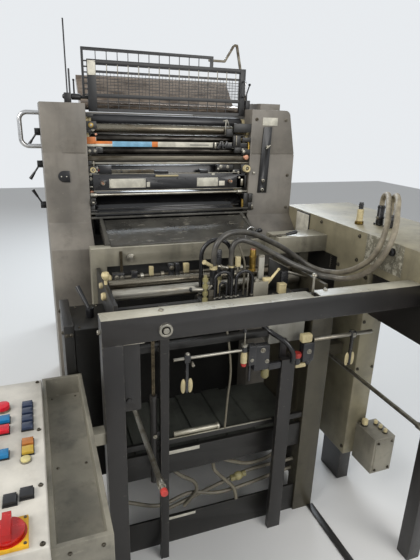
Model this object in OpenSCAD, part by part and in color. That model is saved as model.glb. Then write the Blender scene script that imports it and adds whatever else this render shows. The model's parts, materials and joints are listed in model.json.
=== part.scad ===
/* [Printing unit] */
// Clear width between the two side housings
inner_w = 760; // [700:10:820]
// Width of the left side housing
left_w = 180; // [160:5:200]
// Width of the right side housing
right_w = 238; // [220:2:260]
// Depth of the printing unit, front face to back face
unit_d = 900; // [860:10:960]
// Height of the housings
unit_h = 1664; // [1654:2:1690]
// Height at which the front face starts to flare out
flare_top = 1166; // [1150:2:1180]
// Height at which the flare ends and the lower front starts
flare_low = 1070; // [1060:2:1080]
// How far the lower front stands proud of the upper front
flare_out = 100; // [80:5:110]
// Height of the seam between upper and lower covers
seam_z = 1460; // [1420:5:1500]
// Radius of the rounded upper corner of the right housing
corner_r = 28; // [20:2:60]
// How far the right housing's upper cover leans in at its top
lean_in = 35; // [20:5:50]
// How far the left housing narrows towards its back
back_in = 22; // [10:2:30]
// How far the outer half of the left cover is angled back
crease_set = 10; // [4:1:16]
// Width of the left cover's flat half, beside the rollers
crease_w = 76; // [60:2:90]

/* [Cylinders and rollers] */
// Radius of the plate cylinder
plate_r = 104; // [96:1:108]
// Radius of the upper ink roller
ink_top_r = 25; // [20:1:28]
// Radius of the bare steel ink roller
ink_steel_r = 19; // [15:1:21]
// Radius of the third ink roller
ink_third_r = 17; // [13:1:19]
// Radius of the lowest ink roller
ink_low_r = 18; // [14:1:20]
// Radius of every roller's journal
journal_r = 11; // [8:1:12]
// Radius of the two feed rollers
feed_r = 20; // [14:1:22]

/* [Feeder] */
// Distance from the unit's centre to the front face of the feeder
feeder_reach = 1400; // [1380:5:1480]
// Height of the feeder's front frame
frame_h = 1100; // [1090:5:1120]
// Height of the frame's beams
beam_h = 78; // [60:2:84]
// Thickness of the frame's beams and posts, front to back
beam_t = 60; // [50:2:64]
// Outer face of the left front post, from the centre
post_left = 470; // [460:5:490]
// Radius of the two pile carrier rods
carrier_r = 8; // [6:0.5:9]
// Outer radius of the two suction hoses
hose_r = 11; // [9:0.5:12]

/* [Side cabinet and console] */
// Height of the side cabinet's top
cabinet_h = 1207; // [1180:1:1230]
// Height of the side cabinet's body
cabinet_t = 149; // [120:1:170]
// Width of the side cabinet
cabinet_w = 380; // [340:10:420]
// Height of the console's top
console_h = 800; // [780:5:820]
// Width of the console's panel
console_w = 400; // [360:10:440]

/* [Delivery] */
// Distance from the unit's centre to the back face of the delivery
delivery_reach = 1250; // [1200:10:1300]
// Height of the delivery's frame
delivery_h = 960; // [900:10:1000]

/* [Hidden] */
gap = 0.3;             // seat clearance between pieces of different bodies
run = 0.05;            // running clearance of a journal in its bore
eps = 0.01;
smooth = 48;
xl = -inner_w / 2;     // inner face of the left housing
xr = inner_w / 2;      // inner face of the right housing
xlo = xl - left_w;     // outer face of the left housing
xro = xr + right_w;    // outer face of the right housing
yf = -unit_d / 2;      // upper front face of the unit
yb = unit_d / 2;       // back face of the unit
yfl = yf - flare_out;  // lower front face of the unit
boss_t = 14;           // bearing boss proud of the housing's inner face
boss_wall = 9;         // wall of a bearing boss round its journal
journal_in = 24;       // how deep a journal sits in its boss and housing
bore_deep = 28;        // depth of a bearing bore

crease_angle = atan(crease_set / (left_w - crease_w));
straight_side = 330;   // depth over which the left housing keeps its full width

// Places of the rollers, as [y, z]
top_at = [yf + 105, unit_h - 64];
steel_at = [yf + 42, top_at[1] - 33];
third_at = [yf + 48, steel_at[1] - 42];
low_at = [yf + 50, third_at[1] - 52];
plate_at = [yf + 130, unit_h - 484];
guard_pivot = [yf + 110, unit_h + 26];
pivot_r = 7;           // radius of the guard's shaft
roller_gap = 8;        // from a roller's end to the boss
strip_z = low_at[1] + 18;
damp_z = plate_at[1] + 121;
bed_top = plate_at[1] - 220;

// Feeder
fy = -feeder_reach;                 // front face of the feeder
fyb = fy + beam_t;                  // back of the front beam
post_w = 58;
beam_z = frame_h - beam_h;
ry = -690;                          // front face of the rear portal
rear_t = 45;
rear_left = 414;
rear_right = 604;
rear_h = 1105;
inner_y = -1180;                    // front face of the inner posts
inner_t = 60;
inner_left = 440;
inner_right = 430;
inner_lw = 60;
inner_rw = 90;
inner_h = beam_z - 22;
wall_t = 15;
rail_t = 25;
bar_t = 30;
guide_y = inner_y - rail_t;         // back of the guide bars
clamp_z = 850;         // height of the sheet guides' two rods
clamp_y = -1220;
guide_top = 790;       // top of the right guide bar
box_x0 = 158;          // the valve box behind the right guide bar
box_x1 = 306;
box_y = inner_y + 2;
box_z = 834;
carrier_z = 683;
table_z = 330;
table_t = 24;
feed_front_at = [-930, beam_z - 32];
feed_back_at = [-855, beam_z - 16];
wall_top = feed_back_at[1] + 20;

// Suction head, in front of the feed rollers
head_x0 = -60;
head_x1 = 330;
head_y0 = -1052;
head_y1 = -962;
head_z = 975;          // top of the head's plate
head_t = 20;
socket_z = 1090;       // where the hoses meet their sockets

// Side cabinet
cab_x = xro;
cab_y0 = -1550;
cab_y1 = yf + 30;
cab_z = cabinet_h - cabinet_t;
skirt_z = 880;         // underside of the dark recessed part below the cabinet
col_w = 100;
col_y0 = -1120;
col_y1 = -900;
col_z = 180;

// Console
con_x1 = -637;
con_y0 = -1795;
con_y1 = -1130;
tray_x1 = -post_left - 37;

// Routes of the two suction hoses, chosen by hand
hose_upper_route = [
    [771, -957, 1292], [771, -957, 1306], [764, -968, 1326], [748, -996, 1343], [720, -1044, 1350],
    [683, -1095, 1342], [645, -1145, 1319], [614, -1185, 1286], [587, -1212, 1248], [569, -1220, 1206],
    [557, -1208, 1160], [551, -1172, 1117], [539, -1120, 1076], [520, -1062, 1047], [497, -1005, 1035],
    [471, -975, 1038], [438, -955, 1053], [400, -942, 1079], [356, -938, 1108], [315, -942, 1134],
    [253, -953, 1166], [192, -966, 1195], [141, -980, 1213], [95, -992, 1220], [54, -1000, 1217],
    [24, -1006, 1202], [4, -1010, 1178], [-4, -1010, 1144], [-4, -1010, 1115], [-4, -1010, 1090]
];
hose_lower_route = [
    [776, -1012, 1262], [776, -1012, 1284], [764, -1022, 1312], [748, -1047, 1338], [717, -1096, 1355],
    [678, -1151, 1347], [638, -1200, 1318], [606, -1240, 1283], [582, -1262, 1245], [562, -1268, 1202],
    [551, -1252, 1155], [547, -1210, 1101], [532, -1155, 1059], [510, -1105, 1035], [480, -1066, 1032],
    [440, -1050, 1038], [398, -1042, 1055], [356, -1030, 1072], [315, -1018, 1090], [266, -1006, 1118],
    [212, -1002, 1148], [170, -1002, 1170], [132, -1002, 1186], [106, -1002, 1191], [83, -1002, 1182],
    [71, -1002, 1158], [70, -1002, 1127], [70, -1002, 1090]
];

// A box given by its two corners
module block(x0, x1, y0, y1, z0, z1) {
    translate([x0, y0, z0]) cube([x1 - x0, y1 - y0, z1 - z0]);
}

// A round bar along X
module xrod(x0, x1, at, r) {
    translate([x0, at[0], at[1]]) rotate([0, 90, 0]) cylinder(h = x1 - x0, r = r, $fn = smooth);
}

// A round bar along Y
module yrod(x, y0, y1, z, r) {
    translate([x, y1, z]) rotate([90, 0, 0]) cylinder(h = y1 - y0, r = r, $fn = smooth);
}

// A round bar along Z
module zrod(x, y, z0, z1, r) {
    translate([x, y, z0]) cylinder(h = z1 - z0, r = r, $fn = smooth);
}

// The points of a quarter or other arc
function arc(c, r, a0, a1, n = 8) = [for (i = [0:n]) let (a = a0 + (a1 - a0) * i / n)
    [c[0] + r * cos(a), c[1] + r * sin(a)]];

// A tube bent through an angle, in the plane of its own X and Y
module elbow(bend_r, r, angle) {
    rotate_extrude(angle = angle, $fn = smooth) translate([bend_r, 0]) circle(r = r, $fn = 24);
}

// A loop of pipe that stands on two legs, in a plane parallel to XZ
module standing_loop(x0, x1, y, z0, z1, r) {
    bend = (x1 - x0) / 2;
    zrod(x0, y, z0, z1 - bend, r);
    zrod(x1, y, z0, z1 - bend, r);
    translate([x0 + bend, y, z1 - bend]) rotate([90, 0, 0]) elbow(bend, r, 180);
}

// A tube swept along a route whose runs never point along Y
function unit_of(v) = v / norm(v);
function run_at(p, i) = unit_of(p[min(i + 1, len(p) - 1)] - p[max(i - 1, 0)]);
function side_at(t) = unit_of(cross(t, [0.2, 1, 0.1]));
module swept_tube(route, r, sides = 10) {
    n = len(route);
    rings = [for (i = [0:n - 1]) let (t = run_at(route, i), s = side_at(t), u = cross(t, s))
        for (k = [0:sides - 1]) let (a = 360 * k / sides) route[i] + r * (cos(a) * s + sin(a) * u)];
    walls = [for (i = [0:n - 2]) for (k = [0:sides - 1]) let (k2 = (k + 1) % sides)
        [i * sides + k, (i + 1) * sides + k, (i + 1) * sides + k2, i * sides + k2]];
    ends = [[for (k = [0:sides - 1]) k], [for (k = [sides - 1:-1:0]) (n - 1) * sides + k]];
    polyhedron(points = rings, faces = concat(walls, ends), convexity = 6);
}

// The outline of the left housing seen from above, with its outer half angled back
module left_plan(front) {
    polygon([[xlo, front + crease_set], [xl - crease_w, front], [xl, front], [xl, yb], [xlo + back_in, yb],
        [xlo, yf + straight_side]]);
}

// The bearing bosses of one side, x at the housing's face, side +1 for left and -1 for right
module bosses(x, side) {
    for (at = [top_at, steel_at, third_at, low_at, plate_at])
        xrod(min(x, x + side * boss_t), max(x, x + side * boss_t), at, journal_r + boss_wall);
}
module bores(x, side) {
    for (at = [top_at, steel_at, third_at, low_at, plate_at])
        xrod(min(x + side * (boss_t + 1), x + side * (boss_t - bore_deep)),
            max(x + side * (boss_t + 1), x + side * (boss_t - bore_deep)), at, journal_r + run);
}

module left_housing() {
    color([0.36, 0.36, 0.33]) difference() {
        union() {
            linear_extrude(flare_low) left_plan(yfl);
            hull() {
                translate([0, 0, flare_low]) linear_extrude(eps) left_plan(yfl);
                translate([0, 0, flare_top - eps]) linear_extrude(eps) left_plan(yf);
            }
            translate([0, 0, flare_top]) linear_extrude(unit_h - flare_top) left_plan(yf);
            bosses(xl, 1);
        }
        bores(xl, 1);
        // The seam between the upper and lower covers
        block(xlo - 1, xl - 8, yf - 1, yf + 3, seam_z, seam_z + 5);
        block(xlo - 1, xlo + 3, yf, yb + 1, seam_z, seam_z + 5);
    }
}

module right_housing() {
    color([0.36, 0.36, 0.33]) difference() {
        union() {
            translate([0, yb, 0]) rotate([90, 0, 0]) linear_extrude(unit_d)
                polygon(concat([[xr, 0], [xro, 0], [xro, seam_z]],
                    arc([xro - lean_in - corner_r, unit_h - corner_r], corner_r, 0, 90), [[xr, unit_h]]));
            // The raised box on its top
            block(xr + 88, xro - lean_in - corner_r + 20, yf + 100, yf + 300, unit_h, unit_h + 30);
            block(xr, xro, yfl, yf, 0, flare_low);
            translate([xr, 0, 0]) rotate([90, 0, 90]) linear_extrude(right_w)
                polygon([[yfl, flare_low], [yf, flare_low], [yf, flare_top]]);
            bosses(xr, -1);
        }
        bores(xr, -1);
        block(xr + 8, xro + 1, yf - 1, yf + 3, seam_z, seam_z + 5);
    }
}

// The cast bed under the cylinders
module bed_panel() {
    color([0.11, 0.11, 0.11]) {
        block(xl, xr, yf + 10, yb - 40, 0, bed_top);
        block(xl, xr, yf - 20, yf + 10, bed_top - 60, bed_top);
    }
}

// The sheet cover that closes the unit at the back, with two cooling slots
module back_cover() {
    color([0.33, 0.33, 0.31]) difference() {
        block(xl, xr, yb - 40, yb - 10, 0, unit_h - 30);
        for (z = [1180, 1240, 1300]) block(xl + 120, xr - 120, yb - 41, yb - 9, z, z + 18);
    }
}

// The ink trough between the housings, with its blade and key row
module ink_duct() {
    duct_y = yf + 160;
    color([0.2, 0.19, 0.18]) {
        translate([xl, 0, 0]) rotate([90, 0, 90]) linear_extrude(inner_w)
            polygon([[duct_y, unit_h - 14], [duct_y + 90, unit_h - 24], [duct_y + 210, unit_h + 110],
                [duct_y + 190, unit_h + 130], [duct_y + 80, unit_h + 16], [duct_y + 10, unit_h + 8]]);
        for (i = [0:11]) yrod(xl + 70 + i * (inner_w - 140) / 11, duct_y + 85, duct_y + 150, unit_h + 4, 7);
    }
}

// The guard: a frame whose left part is raised, with its pivots behind the side plates
guard_y0 = yf + 80;
guard_y1 = yf + 98;
guard_z0 = unit_h - 32;
guard_z1 = unit_h + 176;
guard_x = xr - 8;
guard_plate = 36;      // width of the left side plate
guard_bar = 26;        // width of the right side bar
guard_col = 16;        // width of the pierced column left of the plate
mid_z = unit_h + 26;   // underside of the middle rail
mid_h = 16;
raised_z = guard_z1 + 45; // top of the raised part
raised_x = 209;        // its right end
raised_bar = 12;
plate_x = -guard_x + guard_col;
module guard_frame() {
    mesh_x0 = plate_x + guard_plate;
    mesh_x1 = guard_x - guard_bar;
    outer_x = -guard_x - 6;
    color([0.07, 0.07, 0.07]) {
        block(plate_x, mesh_x0, guard_y0, guard_y1, guard_z0, guard_z1);
        block(mesh_x1, guard_x, guard_y0, guard_y1, guard_z0, guard_z1);
        for (z = [[guard_z0, 14], [mid_z, mid_h], [guard_z1 - 16, 16]])
            block(mesh_x0, mesh_x1, guard_y0 + 2, guard_y1 - 2, z[0], z[0] + z[1]);
        block(outer_x, raised_x, guard_y0 + 2, guard_y1 - 2, raised_z - raised_bar, raised_z);
        block(raised_x - raised_bar, raised_x, guard_y0 + 2, guard_y1 - 2, guard_z1, raised_z - raised_bar);
        // The pierced column: an outer bar and its rungs
        block(outer_x, outer_x + 9, guard_y0 + 2, guard_y1 - 2, mid_z + 3, raised_z - raised_bar);
        for (z = [mid_z + 8:22:guard_z1 - 4])
            block(outer_x + 9, plate_x, guard_y0 + 4, guard_y1 - 4, z, z + 5);
        xrod(-guard_x - 78, plate_x, guard_pivot, pivot_r);
        xrod(guard_x, guard_x + 40, guard_pivot, pivot_r);
        for (x = [plate_x, guard_x - 14])
            block(x, x + 14, guard_y1, guard_pivot[0] + pivot_r, guard_pivot[1] - 17, guard_pivot[1] + 17);
    }
}

// The welded wire grid of the guard, with one wider cross bar
module guard_mesh() {
    wire = 3;
    pitch = 46;
    x0 = plate_x + guard_plate;
    x1 = guard_x - guard_bar;
    y = guard_y0 + 7;
    z0 = guard_z0 + 14;
    z1 = guard_z1 - 16;
    color([0.12, 0.12, 0.12]) {
        for (x = [x0 + pitch:pitch:x1 - pitch / 2]) {
            block(x, x + wire, y, y + wire, z0, mid_z);
            block(x, x + wire, y, y + wire, mid_z + mid_h, z1);
        }
        for (x = [x0:pitch:raised_x - pitch])
            block(x, x + wire, y, y + wire, guard_z1, raised_z - raised_bar);
        for (z = concat([z0 + 14, z0 + 30], [for (i = [0:5]) mid_z + 26 + 12 * i]))
            block(x0, x1, y, y + wire, z, z + wire);
        block(x0, x1, y, y + wire, mid_z + 98, mid_z + 108);
    }
}

module guard_handle() {
    x = guard_x - 12;
    out = 34;
    bend = 14;
    z0 = mid_z + 28;
    z1 = mid_z + 96;
    y = guard_y0 - out;
    r = 4;
    color([0.75, 0.75, 0.75]) {
        for (z = [z0, z1]) yrod(x, y + bend, guard_y0, z, r);
        zrod(x, y, z0 + bend, z1 - bend, r);
        translate([x, y + bend, z0 + bend]) rotate([0, -90, 0]) rotate(180) elbow(bend, r, 90);
        translate([x, y + bend, z1 - bend]) rotate([0, -90, 0]) rotate(270) elbow(bend, r, 90);
    }
}

// The guard shaft's two bearing blocks; the left one carries a tall thin rod and a flat paddle
module signal_rod() {
    x = xl - 60;
    y = guard_pivot[0];
    top = guard_pivot[1] + 15;
    color([0.1, 0.1, 0.1]) difference() {
        union() {
            block(x - 14, x + 14, y - 15, y + 15, unit_h, top);
            block(xr + 6, xr + 28, y - 15, y + 15, unit_h, top);
            zrod(x, y, top, unit_h + 321, 3);
            translate([x, y, unit_h + 321]) sphere(r = 3.5, $fn = 16);
            block(x + 8, x + 14, y - 12, y + 12, top, unit_h + 136);
        }
        xrod(x - 15, x + 15, guard_pivot, pivot_r + run);
        xrod(xr + 5, xr + 29, guard_pivot, pivot_r + run);
    }
}

// The bent rail that stands on the right housing and reaches towards the guard
module bent_rail() {
    r = 5;
    y = guard_pivot[0] + 60;
    foot = [421, unit_h + 6];
    low = raised_z - 8;
    high = raised_z + 64;
    corners = [[raised_x + 13, low], [298, low], [343, high], [358, high], foot];
    color([0.55, 0.56, 0.58]) {
        translate([0, y + r, 0]) rotate([90, 0, 0]) linear_extrude(2 * r)
            for (i = [1:len(corners) - 1])
                hull() for (c = [corners[i - 1], corners[i]]) translate(c) circle(r, $fn = smooth);
        block(foot[0] - 14, foot[0] + 14, y - 14, y + 14, unit_h, foot[1]);
    }
}

// The plates in front of the rollers' ends, with their round bosses
module roller_brackets() {
    y0 = yf;
    y1 = yf + 7;
    color([0.16, 0.16, 0.15]) {
        for (z = [[damp_z + 79, 28], [low_at[1] - 11, 22], [steel_at[1] - 5, 32]])
            block(xl, xl + 42, y0, y1, z[0], z[0] + z[1]);
        for (z = [[damp_z + 75, 38], [low_at[1] - 13, 24], [third_at[1] - 7, 20]])
            block(xr - 44, xr, y0, y1, z[0], z[0] + z[1]);
    }
    color([0.72, 0.66, 0.5]) {
        yrod(xl + 18, y0 - 9, y0, damp_z + 93, 12);
        yrod(xl + 18, y0 - 10, y0, steel_at[1] + 11, 10);
        yrod(xr - 19, y0 - 12, y0, damp_z + 94, 17);
        yrod(xr - 36, y0 - 6, y0, low_at[1], 7);
    }
}

// A roller with a journal at each end
module roller(at, r) {
    half = inner_w / 2 - boss_t - roller_gap;
    xrod(-half, half, at, r);
    reach = inner_w / 2 - boss_t + journal_in;
    xrod(-reach, reach, at, journal_r);
}

module ink_roller_top() { color([0.09, 0.09, 0.09]) roller(top_at, ink_top_r); }
module ink_roller_steel() { color([0.42, 0.38, 0.33]) roller(steel_at, ink_steel_r); }
module ink_roller_third() { color([0.3, 0.28, 0.25]) roller(third_at, ink_third_r); }
module ink_roller_low() { color([0.36, 0.35, 0.33]) roller(low_at, ink_low_r); }

module plate_cylinder() {
    color([0.04, 0.04, 0.04]) {
        half = inner_w / 2 - boss_t - roller_gap;
        difference() {
            xrod(-half, half, plate_at, plate_r);
            // The clamp gap across the cylinder
            translate([0, plate_at[0], plate_at[1]]) rotate([200, 0, 0])
                block(-half - 1, half + 1, -16, 16, plate_r - 26, plate_r + 2);
        }
        reach = inner_w / 2 - boss_t + journal_in;
        xrod(-reach, reach, plate_at, journal_r);
    }
}

// The narrow strip across the rollers with its folded left end
module scale_strip() {
    y = yf + 14;
    color([0.85, 0.86, 0.88]) {
        block(xl, xr - 90, y, y + 4, strip_z, strip_z + 22);
        block(xl, xl + 40, y, y + 4, strip_z + 22, strip_z + 39);
    }
    color([0.1, 0.1, 0.1]) block(xr - 90, xr, y, y + 12, strip_z - 5, strip_z + 21);
}

// The fixed tie bars and rods between the housings
module unit_ties() {
    bar_z = low_at[1] - 41;
    rod_at = [yf + 12, damp_z - 17];
    color([0.4, 0.4, 0.37]) block(xl, xr, yf + 8, yf + 34, bar_z, bar_z + 20);
    color([0.75, 0.76, 0.78]) {
        xrod(xl, xr, [yf + 16, bar_z - 12], 6.5);
        xrod(xl, xr, rod_at, 6.5);
        for (x = [xl + 4, xr - 56]) xrod(x, x + 26, rod_at, 12);
    }
    color([0.12, 0.12, 0.12])
        for (x = [xl, xr - 14]) block(x, x + 14, yf + 2, yf + 60, plate_at[1] + 60, plate_at[1] + 90);
}

// The dampening unit: a dark housing with two bare plates and end knobs
module dampener() {
    y = yf + 10;
    color([0.16, 0.16, 0.17]) {
        block(xl + 18, xr - 18, y, y + 90, damp_z, damp_z + 73);
        block(xl + 40, xr - 60, y + 40, y + 88, damp_z + 73, damp_z + 107);
    }
    color([0.1, 0.1, 0.1]) {
        for (x = [xl, xr - 18]) block(x, x + 18, y + 20, y + 70, damp_z + 9, damp_z + 65);
    }
    color([0.78, 0.74, 0.6]) {
        for (x = [[-292, -129], [117, 222]]) block(x[0], x[1], y - 2, y, damp_z + 12, damp_z + 52);
        for (x = [[-124, -109], [228, 257]]) block(x[0], x[1], y - 2, y, damp_z + 14, damp_z + 36);
    }
    color([0.65, 0.6, 0.5]) for (x = [-321, 283]) yrod(x, y - 14, y, damp_z + 35, 9);
}

module dampener_handle() {
    y = yf + 10;
    z = damp_z + 65;
    color([0.8, 0.78, 0.7]) {
        for (x = [-78, 12]) yrod(x, y - 16, y, z, 4);
        xrod(-86, 20, [y - 16, z], 4);
    }
}

// The worn sheet-metal slope in front of the cylinder, and the ledges above it
module feed_apron() {
    apron_x0 = -330;
    apron_x1 = 340;
    apron_z = plate_at[1] - 14;
    cheek_t = 14;
    color([0.24, 0.23, 0.22]) {
        translate([apron_x0, 0, 0]) rotate([90, 0, 90]) linear_extrude(apron_x1 - apron_x0)
            polygon([[yf - 6, apron_z], [yf - 6, apron_z + 6], [ry + rear_t, rear_h + 6],
                [ry + 15, rear_h + 6], [ry + 15, rear_h], [ry + rear_t, rear_h]]);
        for (x = [apron_x0 - cheek_t, apron_x1]) translate([x, 0, 0])
            rotate([90, 0, 90]) linear_extrude(cheek_t)
                polygon([[yf + 6, apron_z - 46], [yf + 6, apron_z + 14], [yf - 6, apron_z + 14],
                    [ry + rear_t, rear_h + 13], [ry + rear_t, rear_h - 45]]);
    }
    color([0.09, 0.09, 0.09]) {
        for (z = [plate_at[1], plate_at[1] + 20]) block(xl, xr, yf - 6, yf + 8, z, z + 8);
    }
}

// The bright D handle on the left housing
module side_handle() {
    y = yf + 150;
    out = 82;
    z0 = unit_h - 182;
    z1 = z0 + 140;
    bend = 32;
    r = 9.5;
    color([0.78, 0.79, 0.8]) {
        for (z = [z0, z1]) xrod(xlo - out + bend, xlo, [y, z], r);
        zrod(xlo - out, y, z0 + bend, z1 - bend, r);
        translate([xlo - out + bend, y, z0 + bend]) rotate([90, 0, 0]) rotate(180) elbow(bend, r, 90);
        translate([xlo - out + bend, y, z1 - bend]) rotate([90, 0, 0]) rotate(90) elbow(bend, r, 90);
    }
}

// A lever on the left housing: a round hub and a stem with a tapered grip
lever_x = xlo - gap;
module lever(y, z, angle) {
    hub = 16;
    color([0.06, 0.06, 0.06]) translate([lever_x, y, z]) {
        rotate([0, -90, 0]) cylinder(h = 24, r = hub, $fn = smooth);
        translate([-12, 0, 0]) rotate([0, angle, 0]) translate([0, 0, -2]) {
            rotate([180, 0, 0]) cylinder(h = 44, r = 4, $fn = 24);
            translate([0, 0, -80]) cylinder(h = 38, r1 = 8, r2 = 5, $fn = 32);
        }
    }
}
lever_y = yf + 230;
lever_zs = [unit_h - 124, unit_h - 266, unit_h - 454];
module lever_upper() { lever(lever_y, lever_zs[0], 35); }
module lever_middle() { lever(lever_y, lever_zs[1], 35); }
module lever_lower() { lever(lever_y, lever_zs[2], 150); }

// Small plates on the housings' front faces
module housing_plates() {
    color([0.05, 0.05, 0.06]) {
        // The D-shaped switch plate on the left housing
        translate([xl - crease_w, yf, unit_h - 297]) rotate([0, 0, -crease_angle]) translate([-27, 0, 0])
            rotate([90, 0, 0]) linear_extrude(4)
                polygon(concat(arc([0, 0], 24, 90, 270), [[24, -24], [24, 24]]));
        // The strip on the right housing, which leans a little
        translate([xr, yf, unit_h]) rotate([90, 0, 0]) linear_extrude(5)
            polygon([[48, -386], [97, -387], [106, -76], [63, -77]]);
    }
    color([0.75, 0.75, 0.72]) {
        for (at = [[71, -371], [73, -327], [86, -168]])
            yrod(xr + at[0], yf - 12, yf - 5, unit_h + at[1], 8);
        block(xr + 56, xr + 134, yf - 3, yf, unit_h - 70, unit_h - 34);
    }
}

// The feeder's rear portal, one welded frame
module rear_portal() {
    color([0.36, 0.37, 0.34]) {
        block(-rear_left, -rear_left + 62, ry, ry + beam_t, 0, rear_h);
        block(-rear_left + 62, rear_right, ry, ry + rear_t, rear_h - beam_h, rear_h);
        block(rear_right - 50, rear_right, ry, ry + rear_t, 0, rear_h - beam_h);
        block(-rear_left, xl, ry + beam_t, yfl, 40, 110);
        block(rear_right - 50, rear_right, ry + rear_t, yfl, 40, 110);
        block(372, cab_x, ry - 120, ry, rear_h - 40, rear_h + 32);
    }
    bolt_z = rear_h - 43;
    color([0.2, 0.2, 0.2]) yrod(-254, ry - 10, ry, bolt_z, 17);
    color([0.6, 0.6, 0.6]) yrod(-254, ry - 18, ry - 10, bolt_z, 9);
}

// The feeder's front beam with its bolt, and the notch in its top
module front_beam() {
    bolt_x = -292;
    bolt_z = beam_z + 31;
    color([0.2, 0.19, 0.18]) difference() {
        block(-post_left, cab_x, fy, fyb, beam_z, frame_h);
        block(192, 215, fy + 8, fyb + 1, frame_h - 20, frame_h + 1);
        yrod(bolt_x, fy - 1, fy + 12, bolt_z, 9);
    }
    color([0.12, 0.12, 0.12]) difference() {
        yrod(bolt_x, fy - 8, fy, bolt_z, 20);
        yrod(bolt_x, fy - 9, fy + 1, bolt_z, 13);
    }
    color([0.6, 0.58, 0.52]) yrod(bolt_x, fy - 12, fy + 12, bolt_z, 9);
}

module front_post_left() {
    color([0.16, 0.15, 0.14]) {
        block(-post_left, -post_left + post_w, fy, fyb, 0, beam_z);
        block(-post_left + post_w, -post_left + post_w + 50, fy + 18, fy + 28, 794, beam_z);
        yrod(-post_left + post_w + 14, fy + 12, fy + 18, 832, 8);
    }
}

// The legs of the side cabinet
leg_w = 58;
module cabinet_legs() {
    color([0.16, 0.15, 0.14]) for (x = [cab_x + 22, cab_x + cabinet_w - leg_w])
        block(x, x + leg_w, cab_y0, cab_y0 + leg_w, 0, x < cab_x + 100 ? skirt_z : cab_z);
    color([0.16, 0.15, 0.14]) block(cab_x + cabinet_w - leg_w, cab_x + cabinet_w, cab_y1 - 160,
        cab_y1 - 160 + leg_w, 0, cab_z);
}

// The feeder's side walls with an inner post in front of each, bored for the feed rollers
module feed_bores(x0, x1) {
    for (at = [feed_front_at, feed_back_at]) xrod(x0, x1, at, journal_r + run);
}
module side_wall_left() {
    x1 = -inner_left + inner_lw;
    color([0.13, 0.13, 0.13]) difference() {
        union() {
            block(-inner_left, x1, inner_y, inner_y + inner_t, 0, inner_h);
            block(x1 - wall_t, x1, inner_y + inner_t, ry, 40, wall_top);
            block(-inner_left, x1 - wall_t, inner_y + inner_t, inner_y + inner_t + 40, 0, 120);
            block(-inner_left, -post_left + post_w, fyb, inner_y, 40, 100);
        }
        feed_bores(x1 - wall_t - 1, x1 + 1);
    }
}
module side_wall_right() {
    x0 = inner_right - inner_rw;
    color([0.2, 0.19, 0.16]) difference() {
        union() {
            block(x0, inner_right, inner_y, inner_y + inner_t, 0, inner_h);
            block(inner_right - wall_t, inner_right, inner_y + inner_t, ry, 40, wall_top);
            block(inner_right, rear_right, -1040, -1000, carrier_z - 26, carrier_z + 26);
            block(rear_right - wall_t, rear_right, -1000, ry, carrier_z - 26, carrier_z + 26);
        }
        feed_bores(inner_right - wall_t - 1, inner_right + 1);
    }
}

// The dark plates and the rail that tie the two side walls
module cross_plates() {
    x0 = -inner_left + inner_lw;
    x1 = inner_right - inner_rw;
    color([0.12, 0.1, 0.1]) {
        block(x0, x1, inner_y + 10, inner_y + 20, 0, 131);
        block(x0, x1, inner_y + 10, inner_y + 28, 342, 446);
        block(x0, x1, inner_y + 4, inner_y + 18, 478, 500);
        block(x0, box_x0, inner_y, inner_y + rail_t, 868, 892);
    }
    color([0.7, 0.68, 0.62]) {
        block(-236, -110, inner_y + 6, inner_y + 10, 118, 131);
        block(-222, -100, inner_y + 6, inner_y + 10, 430, 446);
    }
}

// The upright guide bars of the pile, each on an arm from the front beam
module pile_guides() {
    color([0.07, 0.07, 0.08]) {
        block(-266, -236, guide_y - bar_t, guide_y - 8, 0, beam_z);
        block(-266, -236, fyb, guide_y - 8, beam_z, beam_z + 30);
        block(-262, -240, guide_y - 8, inner_y, 874, 886);
        // The shorter right bar hangs on the valve box by a bent tab
        block(190, 245, guide_y - bar_t, guide_y - 8, 0, guide_top);
        block(236, 245, guide_y - 8, guide_y + 20, 0, guide_top);
        block(204, 231, guide_y - 8, inner_y - 8, guide_top - 22, guide_top - 10);
        block(204, 231, inner_y - 8, box_y, guide_top - 22, box_z + 18);
        zrod(-288, guide_y - 15, 370, 712, 12);
        block(-290, -266, guide_y - 19, guide_y - 11, 560, 580);
    }
    color([0.75, 0.75, 0.75]) translate([-288, guide_y - 15, 712]) cylinder(h = 16, r = 13.5, $fn = smooth);
}

// The two rods that carry the pile's guards, and their coloured end caps
carrier_y = fy - 200;
module carrier_rods() {
    color([0.7, 0.71, 0.72]) {
        yrod(-352, carrier_y, -1190, carrier_z, carrier_r);
        yrod(515, carrier_y - 20, -1040, carrier_z, carrier_r);
    }
    color([0.4, 0.4, 0.4]) {
        block(-380, -336, -1190, -1160, carrier_z - 18, carrier_z + 18);
        for (c = [[-352, carrier_y + 12], [515, carrier_y - 8]])
            yrod(c[0], c[1], c[1] + 26, carrier_z, carrier_r + 3);
    }
}
module rod_caps() {
    color([0.75, 0.16, 0.15]) {
        yrod(-352, carrier_y - 14, carrier_y, carrier_z, carrier_r + 2);
        yrod(515, carrier_y - 34, carrier_y - 20, carrier_z, carrier_r + 2);
    }
}

// The fixed lift chains: each a flat strip of links from its bolt or beam down to the pile's gear
module lift_chains() {
    color([0.3, 0.28, 0.24]) {
        block(-294, -282, guide_y - 19, guide_y - 11, 728, beam_z);
        block(-300, -276, fyb, guide_y - 11, beam_z, beam_z + 10);
        block(-300, -288, ry - 12, ry - 4, 900, rear_h - 15);
        block(-300, -288, ry - 4, ry, rear_h - 45, rear_h - 15);
    }
}

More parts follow.
